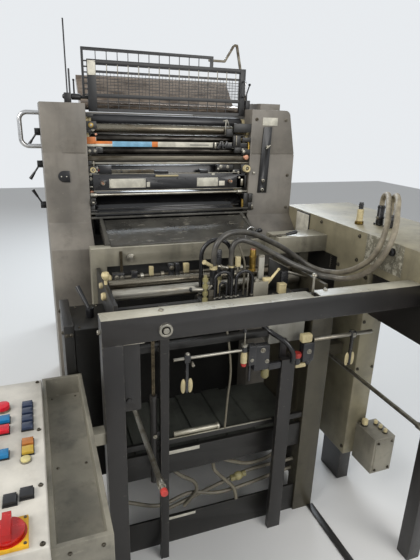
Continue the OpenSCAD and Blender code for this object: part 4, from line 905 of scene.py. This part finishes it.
# %% The valve, the brass fitting and the cream spacers
BRASS_X, BRASS_Y = 0.16, -1.0
group("valve_post", enamel_paint, [
    (block, (0.014, -0.975, HEAD_TOP), (0.042, -0.963, 1.15)),
    (rod, (0.028, -0.976, 1.13), (0.028, -0.984, 1.13), 0.008),
    (block, (0.296, -0.992, HEAD_TOP), (0.328, -0.9795, 1.046))])
group("grey_valve", box_paint, [
    (block, (0.15, -1.047, HEAD_TOP), (0.212, -1.019, 1.032), 0.003),
    (block, (0.186, -1.0095, 1.118), (0.207, -0.9925, 1.1265), 0.002),
    (turned, (0.166, -1.033, 1.032), UPWARDS, [(0, 0), (0.011, 0), (0.011, 0.006), (0.007, 0.01), (0, 0.01)])],
      slot="plate_black")
group("cream_valve_lever", cream_plastic, [
    (bar, (0.212, -1.03, 1.016), (0.262, -1.024, 1.068), 0.0062, 0.0046), (ball, (0.2635, -1.0238, 1.0695), 0.0062),
    (block, (0.194, -1.045, 1.031), (0.226, -1.022, 1.043), 0.003),
    (block, (0.0805, -1.028, 1.094), (0.099, -1.012, 1.133), 0.003),
    (block, (0.262, -1.047, 1.008), (0.293, -1.019, 1.0145), 0.002)])
group("brass_rings", brass, each(hex_nut, spots(BRASS_X, BRASS_Y, (1.064, 1.118)), 0.015, 0.009, UPWARDS)
      + each(sleeve, spots(BRASS_X, BRASS_Y, (1.1, 1.091)), 0.0119, 0.0132, 0.003))
group("brass_cap", copper, [(turned, (BRASS_X, BRASS_Y, 1.149), UPWARDS, [
    (0, 0), (0.0115, 0), (0.0115, 0.003), (0.009, 0.006), (0.005, 0.0065), (0, 0.0065)])], slot="fitting_cream")
DISC_PITCH = 0.026
discs = [(0, 0)]
for i in range(4):
    low = DISC_PITCH * i
    discs += [(0.0105, low), (0.0105, low + 0.013), (0.006, low + 0.015), (0.006, low + 0.024)]
group("cream_spacers", olive_plastic, [
    (turned, (-0.046, -1.041, HEAD_TOP), UPWARDS, discs + [(0, 0.102)]),
    (turned, (0.036, -0.97, 1.031), UPWARDS, [(0, 0), (0.0105, 0), (0.0105, 0.012), (0, 0.014)])])
group("side_plunger", bright_steel, [
    (rod, (-0.098, -1.036, 1.025), (-0.055, -1.039, 1.022), 0.008),
    (rod, (0.128, -1.035, HEAD_TOP), (0.128, -1.035, 1.066), 0.003), (ball, (0.128, -1.035, 1.068), 0.005),
    (rod, (0.09, -1.02, HEAD_TOP), (0.09, -1.02, 1.095), 0.004),
    (bar, (0.24, -0.9795, 1.104), (0.33, -0.9795, 1.056), 0.003),
    (rod, (0.325, -0.99, 1.043), (0.4145, -0.99, 1.012), 0.0052),
    (rod, (-0.034, -1.036, 1.018), (-0.018, -1.036, 1.034), 0.005)])
group("plunger_tip", black_plastic, [(ball, (-0.1, -1.036, 1.025), 0.0088, (0.7, 1, 1))])
group("grey_formed_pipe", grey_rubber, [(pipe, [
    (0.098, -1.006, 1.172), (0.11, -1.01, 1.14), (0.12, -1.012, 1.105), (0.122, -1.012, 1.06),
    (0.121, -1.012, HEAD_TOP)], 0.0044)])
CUP = [(0.005, -0.004), (0.0075, 0), (0.0075, 0.003), (0.013, 0.011), (0.0118, 0.0116), (0, 0.006)]
group("sucker_cups", pipe_rubber, [(turned, (0.03 + i * 0.06, -1.03, 0.897), DOWNWARDS, CUP) for i in range(4)])
print("valve, fittings and cups made")

# %% [markdown]
# ## Rollers, chains and levers of the feeder
#
# The feed rollers turn in hubs on the side walls, and short brackets sit on the rod behind them. The lift chains
# are real roller chains here: a loop places one link after another, every second one a little wider.

# %% Hubs, brackets and the lever on the portal
HUB = [(0, 0), (0.017, 0), (0.017, 0.004), (0.013, 0.0072), (0, 0.0072)]
CAP = [(0, 0), (0.015, 0), (0.015, 0.01), (0.011, 0.015), (0, 0.015)]
ROD_FRONT = -0.803
group("roller_hubs", dull_steel, [(turned, (x, y, z), (way, 0, 0), HUB) for y, z in ((-0.93, 0.99), (-0.855, 1.006))
                                  for x, way in ((-0.38, 1), (0.415, -1))])
group("roller_caps", cream_plastic, [
    (turned, (-0.395, -0.93, 0.99), LEFTWARDS, CAP), (turned, (-0.395, -0.855, 1.006), LEFTWARDS, scaled(CAP, 0.8)),
    (turned, (-0.38, -0.79, 1.01), RIGHTWARDS, [(0.0072, 0), (0.016, 0), (0.016, 0.024), (0.012, 0.029),
                                                (0.0072, 0.029)]),
    (block, (-0.054, -0.799, 1.01), (-0.03, -0.781, 1.05), 0.003),
    (block, (-0.198, -0.798, 1.01), (-0.181, -0.782, 1.047)),
    (turned, (-0.3875, -0.9, 1.026), UPWARDS, [(0, 0), (0.006, 0), (0.006, 0.016), (0.013, 0.024), (0.016, 0.036),
                                               (0.012, 0.046), (0, 0.048)])])
group("rod_brackets", enamel_paint, [
    (block, (x0, ROD_FRONT, 1.0), (x1, -0.777, z1), 0.002) for x0, x1, z1 in (
        (-0.346, -0.3, 1.03), (-0.272, -0.248, 1.034), (-0.119, -0.096, 1.053), (-0.091, -0.073, 1.053))])
group("bracket_screws", bright_steel,
      [(screw, (x, ROD_FRONT, z), 0.0065) for x, z in ((-0.331, 1.016), (-0.311, 1.013), (-0.107, 1.038))]
      + each(sleeve, spots((-0.235, -0.15, 0.02, 0.2), -0.79, 1.01), 0.0072, 0.0125, 0.012, RIGHTWARDS))
group("portal_lever", dull_steel, [
    (turned, (0.386, -0.785, 1.137), UPWARDS, [(0, 0), (0.011, 0), (0.011, 0.004), (0.007, 0.008), (0, 0.008)]),
    (bar, (0.34, -0.78, 1.1405), (0.424, -0.785, 1.1445), 0.0036)])
group("portal_lever_grip", black_plastic, [
    (bar, (0.421, -0.785, 1.1442), (0.466, -0.785, 1.152), 0.0058, 0.0088), (ball, (0.467, -0.785, 1.1522), 0.0088),
    (bar, (0.333, -0.655, 1.118), (0.345, -0.655, 1.143), 0.006),
    (ball, (0.353, -0.655, 1.137), 0.013, (1.2, 0.7, 0.8))])
group("apron_hook", chrome, [(pipe, [(0.284, -0.655, 1.106), (0.289, -0.655, 1.136), (0.304, -0.655, 1.154),
                                     (0.321, -0.655, 1.15), (0.328, -0.655, 1.132)], 0.0042)])
print("hubs, brackets and levers made")

# %% Roller chains
PITCH = 0.0127
PLATE_HALF, PLATE_THIN, PIN_RADIUS, PIN_HALF = 0.0052, 0.0006, 0.0024, 0.0042
PLATE_OVERLAP = 0.003
NARROW, WIDE = 0.0024, 0.0036


def chain(form, x, y, low, high):
    """A roller chain along Z whose pins point along Y."""
    count = round((high - low) / PITCH)
    pitch = (high - low) / count
    for i in range(count):
        z = low + i * pitch
        reach = WIDE if i % 2 else NARROW
        for middle in (y - reach, y + reach):
            block(form, (x - PLATE_HALF, middle - PLATE_THIN, z - PLATE_OVERLAP),
                  (x + PLATE_HALF, middle + PLATE_THIN, z + pitch + PLATE_OVERLAP), 0)
        bar(form, (x, y - PIN_HALF, z), (x, y + PIN_HALF, z), PIN_RADIUS, sides=8)


group("lift_roller_chains", chain_steel, [
    (chain, -0.288, -1.22, 0.728, 1.022), (chain, -0.294, -0.698, 0.9, 1.088),
    (block, (-0.3, -1.34, 1.022), (-0.276, -1.216, 1.032)),
    (block, (-0.3, -0.694, 1.06), (-0.288, -0.69, 1.09), 0.0005)], node="lift_chains")
print("chains made, with a pitch of", PITCH)

# %% [markdown]
# ## Sheet guides and the front frame
#
# Two rods in front of the pile carry clamps, cream paddles and red stops for the guides of the sheets. They stand
# for one solid node together. The front frame keeps to its dark paint, with a pale paint along its top that is
# painted light from above, with some dust.

# %% Rods, clamps and paddles
ROD_Y, ROD_Z = -1.22, 0.85
CLAMP_FRONT, CLAMP_BACK = ROD_Y - 0.016, ROD_Y + 0.016
PADDLES = (-0.17, 0.498)
STEM_Z = ROD_Z - 0.078
BLACK_KNOB = [(0, 0), (0.012, 0), (0.014, 0.004), (0.014, 0.028), (0, 0.028)]
CREAM_KNOB = [(0, 0), (0.012, 0), (0.0125, 0.03), (0.01, 0.044), (0, 0.044)]
OLIVE_KNOB = [(0, 0), (0.01, 0), (0.015, 0.008), (0.015, 0.03), (0.011, 0.04), (0, 0.04)]


def stop(form, base, radius, height):
    """A low disc with rounded rims."""
    turned(form, base, UPWARDS, [(0, 0), (radius * 0.9, 0), (radius, 0.003), (radius, height - 0.003),
                                 (radius * 0.9, height), (0, height)])


group("sheet_rods", bright_steel, [
    (rod, (-0.218, ROD_Y, ROD_Z), (0.054, ROD_Y, ROD_Z), 0.0055),
    (rod, (0.324, ROD_Y, ROD_Z), (0.586, ROD_Y, ROD_Z), 0.008),
    (rod, (-0.154, ROD_Y - 0.004, 0.834), (-0.154, ROD_Y - 0.022, 0.83), 0.006),
    (dome, (-0.168, ROD_Y, 0.864), 0.009, UPWARDS), (sleeve, (0.491, ROD_Y, ROD_Z), 0.008, 0.015, 0.012, RIGHTWARDS),
    (rod, (0.042, ROD_Y, 0.864), (0.042, ROD_Y, 0.872), 0.0125), (screw, (0.108, CLAMP_FRONT, 0.846), 0.0065),
    (screw, (0.127, CLAMP_FRONT, 0.8), 0.0055), (screw, (0.3, CLAMP_FRONT, 0.812), 0.0065),
    (screw, (0.0675, CLAMP_FRONT, 0.812), 0.0045), (rod, (0.042, ROD_Y, 0.872), (0.042, ROD_Y, 0.9195), 0.003)],
      node="guide_rods")
group("sheet_clamps", enamel_paint, [
    (block, (0.054, CLAMP_FRONT, 0.79), (0.085, CLAMP_BACK, 0.866), 0.004),
    (block, (0.076, CLAMP_FRONT, 0.764), (0.138, CLAMP_BACK, 0.863), 0.006),
    (block, (0.138, ROD_Y - 0.012, 0.758), (0.19, ROD_Y + 0.006, 0.784), 0.003),
    (rod, (0.067, ROD_Y, 0.722), (0.067, ROD_Y, 0.79), 0.005),
    (block, (0.275, CLAMP_FRONT, 0.769), (0.324, CLAMP_BACK, 0.847), 0.006),
    (block, (0.245, ROD_Y - 0.005, 0.764), (0.275, ROD_Y + 0.005, 0.784)),
    (turned, (0.26, ROD_Y, 0.76), UPWARDS, BLACK_KNOB), (ball, (0.306, ROD_Y, 0.762), 0.013),
    (turned, (0.042, ROD_Y, 0.844), UPWARDS, [(0, 0), (0.012, 0), (0.012, 0.02), (0, 0.02)])]
      + [(block, (x - 0.011, ROD_Y - 0.012, ROD_Z - 0.014), (x + 0.011, ROD_Y + 0.012, ROD_Z + 0.014), 0.003)
         for x in PADDLES]
      + [(block, (x - 0.005, ROD_Y - 0.006, STEM_Z - 0.054), (x + 0.005, ROD_Y + 0.006, ROD_Z - 0.014), 0.002)
         for x in PADDLES], node="guide_rods")
group("sheet_paddles", cream_plastic,
      [(ball, (x + side * 0.0125, ROD_Y, STEM_Z - 0.029), 0.0095, (1, 0.45, 3.0), 16) for x in PADDLES
       for side in (-1, 1)]
      + [(turned, (0.042, ROD_Y, 0.8), UPWARDS, CREAM_KNOB),
         (block, (0.268, ROD_Y - 0.014, 0.847), (0.312, ROD_Y + 0.012, 0.88), 0.006),
         (rod, (0.29, CLAMP_FRONT, 0.866), (0.29, ROD_Y + 0.012, 0.866), 0.01),
         (block, (0.254, ROD_Y - 0.006, 0.742), (0.3, ROD_Y + 0.006, 0.76), 0.004)], node="guide_rods")
group("red_stops", cap_red, [(stop, (0.042, ROD_Y, 0.786), 0.01, 0.014), (stop, (0.26, ROD_Y, 0.788), 0.016, 0.018)],
      node="guide_rods")
group("olive_knob", olive_plastic, [(turned, (0.13, ROD_Y, 0.724), UPWARDS, OLIVE_KNOB)], node="guide_rods")
print("sheet guides made")

# %% Two coil springs
TURNS, STEPS_PER_TURN = 7, 8


def coil(x, y, top, radius, length):
    """The points of a spring that hangs down from its top."""
    whole = TURNS * math.tau
    angles = [j * math.tau / STEPS_PER_TURN for j in range(STEPS_PER_TURN * TURNS + 1)]
    return [(x + radius * math.cos(a), y + radius * math.sin(a), top - length * a / whole) for a in angles]


group("paddle_spring", dull_steel, [(pipe, coil(PADDLES[1], ROD_Y, 0.836, 0.0062, 0.06), 0.0011, 0.004, 6),
                                    (pipe, coil(0.624, -0.85, 1.058, 0.0045, 0.062), 0.0012, 0.004, 6)],
      slot="chain_steel")
print("springs made, each with", TURNS, "turns")

# %% Formed pipes below the beam and details of the frame
LOW_PIPES = (
    ((-0.236, -1.14, 0.136), (-0.1, -1.13, 0.165), (0.02, -1.135, 0.205), (0.14, -1.13, 0.23), (0.34, -1.14, 0.245)),
    ((-0.38, -1.13, 0.215), (-0.25, -1.14, 0.17), (-0.12, -1.13, 0.185), (0.03, -1.14, 0.16), (0.34, -1.13, 0.19)),
    ((-0.2, -1.155, 0.342), (-0.165, -1.15, 0.3), (-0.11, -1.145, 0.25), (-0.1, -1.145, 0.2), (-0.15, -1.145, 0.14)),
    ((-0.035, -1.155, 0.342), (-0.025, -1.15, 0.29), (0.02, -1.15, 0.23), (0.06, -1.155, 0.18),
     (0.07, -1.165, 0.131)),
    ((0.0, -1.155, 0.342), (0.06, -1.145, 0.305), (0.13, -1.14, 0.275), (0.22, -1.14, 0.285), (0.27, -1.15, 0.342)))
group("guide_air_pipe", pipe_rubber, [
    (pipe, [(0.15, -1.052, 0.956), (0.15, -1.085, 0.925), (0.148, -1.13, 0.9), (0.165, -1.185, 0.884),
            (0.205, -1.222, 0.858), (0.228, -1.238, 0.822), (0.232, -1.238, 0.792), (0.23, -1.23, 0.78)],
     0.0095, 0.008, 16),
    (pipe, [(0.042, ROD_Y, 0.916), (0.043, -1.2, 0.945), (0.047, -1.14, 0.965), (0.05, -1.06, 0.966),
            (0.05, -1.05, 0.966)], 0.0075)])
group("grey_air_pipe", grey_rubber, [(pipe, [
    (0.006, -1.051, 0.962), (0.004, -1.1, 0.945), (0.0, -1.16, 0.895), (0.004, -1.182, 0.82), (0.01, -1.183, 0.74),
    (0.004, -1.181, 0.64), (0.0, -1.179, 0.54), (0.0, -1.174, 0.5)], 0.004)])
group("low_air_pipes", grey_rubber, each(pipe, LOW_PIPES, 0.0075))
group("low_brass_joint", olive_plastic, [
    (ball, (0.085, -1.14, 0.222), 0.021, (1, 0.8, 0.9)), (hex_nut, (0.103, -1.14, 0.226), 0.012, 0.016, (1, 0, 0.1)),
    (block, (0.05, -1.15, 0.208), (0.072, -1.13, 0.228), 0.003)])
group("plate_strips", dusty_steel, [
    (block, (-0.225, -1.1765, 0.4975), (0.2, -1.17, 0.5015)),
    (rod, (-0.2, -1.164, 0.5105), (-0.03, -1.164, 0.5105), 0.01),
    (sleeve, (-0.03, -1.164, 0.5105), 0.006, 0.0125, 0.008, RIGHTWARDS)])
group("frame_screws", bright_steel, [
    (dome, (-0.298, -1.3695, 1.1), 0.0075, UPWARDS), (dome, (-0.44, -1.15, 0.873), 0.009, LEFTWARDS),
    (screw, (-0.286, -1.234, 0.57), 0.005), (dome, (0.26, -1.348, 1.1), 0.0075, UPWARDS),
    (rod, (0.2035, -1.362, 1.08), (0.2035, -1.362, 1.158), 0.0042), (dome, (0.2035, -1.362, 1.158), 0.0095, UPWARDS)]
      + each(screw, spots(-0.47, -1.37, (1.055, 0.7)), 0.007, LEFTWARDS)
      + [(rod, (-0.412, -1.4003, 1.0215), (-0.352, -1.4003, 1.0215), 0.0009),
         (dome, (-0.398, -1.3715, 0.832), 0.006)])
print("feeder details made")

# %% [markdown]
# ## Cabinet, console and housings
#
# These are large painted pieces, so small things make them: screws with sockets, nuts and ribs on the plugs,
# lids, and a bezel round each button. Where the cabinet's side is weathered, a thin skin with its own finish lies
# on it.

# %% The cabinet's plugs, side and terminal box
CAB_X, CAB_TOP, SKIN = 0.618, 1.207, 0.0008
UPPER_PLUG, LOWER_PLUG, CREAM_PLUG = (0.771, -0.957), (0.776, -1.012), (0.695, -0.92)
group("plug_ribs", black_plastic,
      [(sleeve, (x, y, CAB_TOP + 0.006 + i * 0.0065), 0.014, 0.0172, 0.0035) for x, y in (UPPER_PLUG, LOWER_PLUG)
       for i in range(3)]
      + [(sleeve, (x, y, z), 0.012, 0.0165, 0.006) for (x, y), z in ((UPPER_PLUG, 1.2805), (LOWER_PLUG, 1.2505))]
      + [(sleeve, CREAM_PLUG + (z,), 0.008, 0.0108, 0.004) for z in (1.28, 1.289)]
      + [(rod, (x - 0.013, y + s * 0.016, CAB_TOP), (x - 0.013, y + s * 0.016, CAB_TOP + 0.008), 0.004)
         for x, y in (UPPER_PLUG, LOWER_PLUG) for s in (-1, 1)])
group("plug_brass", brass, [(hex_nut, CREAM_PLUG + (CAB_TOP,), 0.0195, 0.0105, UPWARDS),
                            (sleeve, CREAM_PLUG + (1.2175,), 0.0125, 0.018, 0.003)])
group("plug_cream", cream_plastic, [(sleeve, CREAM_PLUG + (1.222 + i * 0.0125,), 0.0125, 0.0142, 0.005)
                                    for i in range(4)])
group("plug_screws", bright_steel, [(screw, (x - 0.0175, y - 0.004, CAB_TOP + 0.033), 0.0045, (-1, -0.2, 0))
                                    for x, y in (UPPER_PLUG, LOWER_PLUG)])
group("cabinet_side_skin", lichen_paint, [
    (block, (CAB_X - SKIN, -1.29, 1.09), (CAB_X, -1.08, CAB_TOP - 0.001), 0.0003),
    (block, (CAB_X - SKIN, -0.52, 0.5), (CAB_X, -0.47, 0.98), 0.0003)])
group("cabinet_knob", black_plastic, [(turned, (CAB_X, -1.233, 1.172), LEFTWARDS, CAP),
                                      (block, (CAB_X - 0.003, -1.42, 1.09), (CAB_X, -1.395, 1.17), 0.001)])
group("cabinet_screws", dull_steel,
      [(screw, (CAB_X, y, z), 0.0055, LEFTWARDS) for y, z in (
          (-1.52, 1.085), (-1.35, 1.085), (-1.035, 1.085), (-0.76, 1.085), (-0.755, 1.185), (-1.035, 1.185),
          (-1.52, 1.185))]
      + each(screw, spots((0.645, 0.97), -1.55, (1.085, 1.185)), 0.0055)
      + each(screw, spots(CAB_X, (-1.105, -0.915), (0.215, 0.6, 1.03)), 0.006, LEFTWARDS)
      + each(screw, spots((0.63, 0.706), -1.12, (0.62, 0.84)), 0.005))
group("terminal_box_lid", dull_steel, each(screw, spots((0.688, 0.758), -1.254, (0.181, 0.319)), 0.0045)
      + each(hex_nut, spots(0.746, (-1.22, -1.188, -1.156), 0.338), 0.0115, 0.007, UPWARDS)
      + [(hex_nut, (0.694, -1.146, 0.338), 0.0175, 0.008, UPWARDS),
         (hex_nut, (0.776, -1.19, 0.24), 0.013, 0.007, RIGHTWARDS)]
      + each(hex_nut, spots(0.72, (-1.22, -1.18, -1.14), 0.1615), 0.0115, 0.007, DOWNWARDS))
group("portal_plate_screws", bright_steel,
      each(screw, ((0.62, -0.643, 1.188), (0.62, -0.549, 1.104)), 0.0035, LEFTWARDS))
print("cabinet details made")

# %% The housings' screws and plates
SOCKET = [(0, 0), (0.0044, 0), (0.0044, 0.0004), (0, 0.0004)]
group("strip_bolt_sockets", enamel_paint, [(turned, (0.38 + x, -0.4618, 1.664 + z), FRONTWARDS, SOCKET)
                                           for x, z in ((0.071, -0.371), (0.073, -0.327), (0.086, -0.168))],
      slot="plate_black")
group("strip_wing_bolt", bright_steel, [(bar, (0.455, -0.4655, 1.488), (0.477, -0.4655, 1.505), 0.0035),
                                        (ball, (0.4665, -0.4635, 1.4965), 0.007, (1, 0.6, 1))])
group("housing_bolts", dull_steel, [(screw, (x, -0.45, z), 0.0055) for x, z in (
    (0.405, 1.2), (0.595, 1.2), (0.405, 1.62), (0.56, 1.62), (0.59, 1.36))]
      + each(screw, spots((0.41, 0.59, -0.41, -0.535), -0.55, (0.1, 0.42, 0.78)), 0.006)
      + each(dome, ((0.49, -0.2, 1.6942), (0.56, -0.24, 1.6942)), 0.004, UPWARDS)
      + each(screw, spots((-0.355, 0.355), 0.44, (0.06, 0.45, 0.85, 1.25, 1.6)), 0.006, BACKWARDS)
      + each(screw, spots(0.618, (-0.3, 0.36), (0.3, 0.85, 1.4)), 0.007, RIGHTWARDS))
group("switch_plate_dots", white_plate, each(dome, ((-0.4935, -0.4505, 1.367), (-0.4725, -0.453, 1.367)), 0.0026))
group("back_louvres", housing_paint, [
    (block, (-0.3, 0.4405, z + i * 0.03), (0.3, 0.4465, z + i * 0.03 + 0.01), 0.002) for z in (0.18, 0.62)
    for i in range(8)])
group("back_grips", black_plastic, [
    (block, (x - 0.05, 0.44, 1.44), (x + 0.05, 0.447, 1.49), 0.003) for x in (-0.3, 0.3)])
print("housing details made")

# %% Console and tray
SWITCH, PANEL = (-0.716, -1.747), 0.8
SWITCH_PLATE = PANEL + 0.01
RIM, RIM_TOP = 0.0009, PANEL + 0.0045


def frame_round(x, y, width, depth):
    """Four thin bars round a square button."""
    rows = []
    for side, front in ((1, 0), (-1, 0), (0, 1), (0, -1)):
        mid_x, mid_y = x + side * (width / 2 + RIM), y + front * (depth / 2 + RIM)
        half_x, half_y = (RIM, depth / 2 + 2 * RIM) if side else (width / 2 + 2 * RIM, RIM)
        low, high = (mid_x - half_x, mid_y - half_y, PANEL), (mid_x + half_x, mid_y + half_y, RIM_TOP)
        rows.append((block, low, high, 0.0003))
    return rows


BUTTONS = [(-0.679, -1.275 - i * 0.036, 0.028, 0.026) for i in range(4)] + [
    (-0.678, -1.453, 0.028, 0.026), (-0.678, -1.487, 0.028, 0.026), (-0.741, -1.381, 0.032, 0.03),
    (-0.741, -1.334, 0.032, 0.028), (-0.739, -1.486, 0.032, 0.028), (-0.715, -1.648, 0.028, 0.029),
    (-0.68, -1.638, 0.028, 0.029)]
group("button_bezels", bright_steel, [(sleeve, (-0.746, -1.273, PANEL), 0.0192, 0.022, 0.006),
                                      (sleeve, (-0.683, -1.518, PANEL), 0.0122, 0.0145, 0.004)])
group("button_frames", black_plastic, [row for button in BUTTONS for row in frame_round(*button)])
group("switch_ring", red_plastic, [(sleeve, SWITCH + (SWITCH_PLATE,), 0.0352, 0.0382, 0.0012)], slot="switch_red")
group("panel_screws", dull_steel,
      each(screw, spots((-0.65, -1.024), (-1.616, -1.785, -1.145, -1.4), PANEL), 0.004, UPWARDS)
      + each(screw, spots((-0.75, -0.682), (-1.781, -1.713), SWITCH_PLATE), 0.0024, UPWARDS)
      + each(screw, spots((-0.66, -1.01), -1.795, 0.64), 0.0045))
group("tray_front_plate", cream_plastic, [(block, (-0.581, -1.775, 0.6), (-0.51, -1.771, 0.69), 0.001),
                                          (block, (-0.581, -1.775, 0.684), (-0.51, -1.745, 0.69), 0.001)])
group("tray_screws", dull_steel, each(screw, spots((-0.573, -0.518), -1.775, (0.61, 0.668)), 0.0035)
      + each(screw, spots((-0.6, -0.53), -1.775, 0.745), 0.0035)
      + each(dome, spots((-0.61, -0.535), (-1.74, -1.45, -1.1), 0.7002), 0.004, UPWARDS))
print("console and tray made, with", len(BUTTONS), "framed buttons")

# %% Delivery and drive boxes
RODS_Y, RODS_Z, RODS_RADIUS = (0.63, 0.77, 0.91, 1.05), 0.92, 0.009
STAGGER = 0.05
DRIVE_HEIGHTS = (0.34, 0.62, 0.91)
group("delivery_wheels", roller_rubber, [
    (sleeve, (x + STAGGER * (i % 2), y, RODS_Z), RODS_RADIUS, 0.02, 0.012, RIGHTWARDS)
    for i, y in enumerate(RODS_Y) for x in (-0.28, -0.12, 0.04, 0.2)])
group("delivery_collars", bright_steel, [
    (sleeve, (x, y, RODS_Z), RODS_RADIUS, 0.015, 0.01, RIGHTWARDS) for y in RODS_Y for x in (-0.36, 0.35)])
group("delivery_bolts", dull_steel, [(screw, (s * 0.44, y, z), 0.007, (s, 0, 0)) for s in (-1, 1)
                                     for y in (0.48, 1.22) for z in (0.075, 0.86, 0.935)]
      + each(screw, spots((-0.35, 0.35), 1.24, (0.905, 0.935)), 0.006, BACKWARDS)
      + each(dome, spots((-0.41, 0.41), (0.5, 0.85, 1.2), 0.96), 0.006, UPWARDS))
group("drive_box_screws", dull_steel, each(screw, spots((-0.545, -0.53), -1.058, DRIVE_HEIGHTS), 0.005)
      + each(screw, spots(-0.554, (-1.03, -0.83), DRIVE_HEIGHTS), 0.006, LEFTWARDS)
      + each(dome, spots((-0.5, -0.42), (-1.035, -0.85), 0.925), 0.005, UPWARDS))
group("drive_box_seams", enamel_paint, [(block, (-0.5547, y, 0.302), (-0.554, y + 0.003, 0.943), 0.0002)
                                        for y in (-0.97, -0.89)])
print("delivery and drive details made")

# %% [markdown]
# ## Floor, backdrop and light
#
# The stage is a pale floor and nothing else, so that the press is judged on its own. Large soft lamps from the
# left and the front give long gentle highlights on the rollers, and one behind stands for the row of windows. The
# world is a plain light grey for the lighting, and what the camera or a mirror sees of it is the same pale tone
# as the floor.

# %% Floor and world
PALE = (0.8, 0.8, 0.79, 1)
form = bmesh.new()
bmesh.ops.create_grid(form, x_segments=1, y_segments=1, size=9.0)
floor = finished(form, "studio_floor", Finish("studio_floor", PALE, 0.9).material)

world = bpy.data.worlds.new("studio")
world.use_nodes = True
bpy.context.scene.world = world
light_path = world.node_tree.nodes.new("ShaderNodeLightPath")
either = world.node_tree.nodes.new("ShaderNodeMath")
either.operation = "MAXIMUM"
strength = world.node_tree.nodes.new("ShaderNodeMapRange")
strength.inputs["To Min"].default_value = 0.42
strength.inputs["To Max"].default_value = 0.86
background = world.node_tree.nodes["Background"]
background.inputs["Color"].default_value = (0.94, 0.97, 1.0, 1)
world.node_tree.links.new(light_path.outputs["Is Camera Ray"], either.inputs[0])
world.node_tree.links.new(light_path.outputs["Is Glossy Ray"], either.inputs[1])
world.node_tree.links.new(either.outputs[0], strength.inputs["Value"])
world.node_tree.links.new(strength.outputs[0], background.inputs["Strength"])
print("floor and world ready")

# %% Soft lamps
def lamp(name, place, target, size, power, colour=(1, 1, 1)):
    data = bpy.data.lights.new(name, "AREA")
    data.shape = "DISK"
    data.size = size
    data.energy = power
    data.color = colour
    lit = bpy.data.objects.new(name, data)
    lit.location = place
    lit.rotation_euler = (Vector(target) - Vector(place)).to_track_quat("-Z", "Y").to_euler()
    bpy.context.collection.objects.link(lit)


lamp("window_lamp", (1.6, 3.4, 3.6), (0, -0.4, 1.0), 3.0, 150, (0.86, 0.93, 1.0))
lamp("left_lamp", (-3.2, -2.2, 3.2), (0, -0.6, 0.9), 2.4, 95, (1.0, 0.97, 0.93))
lamp("front_lamp", (1.4, -4.0, 2.6), (0, -0.8, 0.8), 2.4, 60, (1.0, 0.98, 0.95))
bpy.context.scene.view_settings.view_transform = "Standard"
print("lamps:", len(bpy.data.lights))
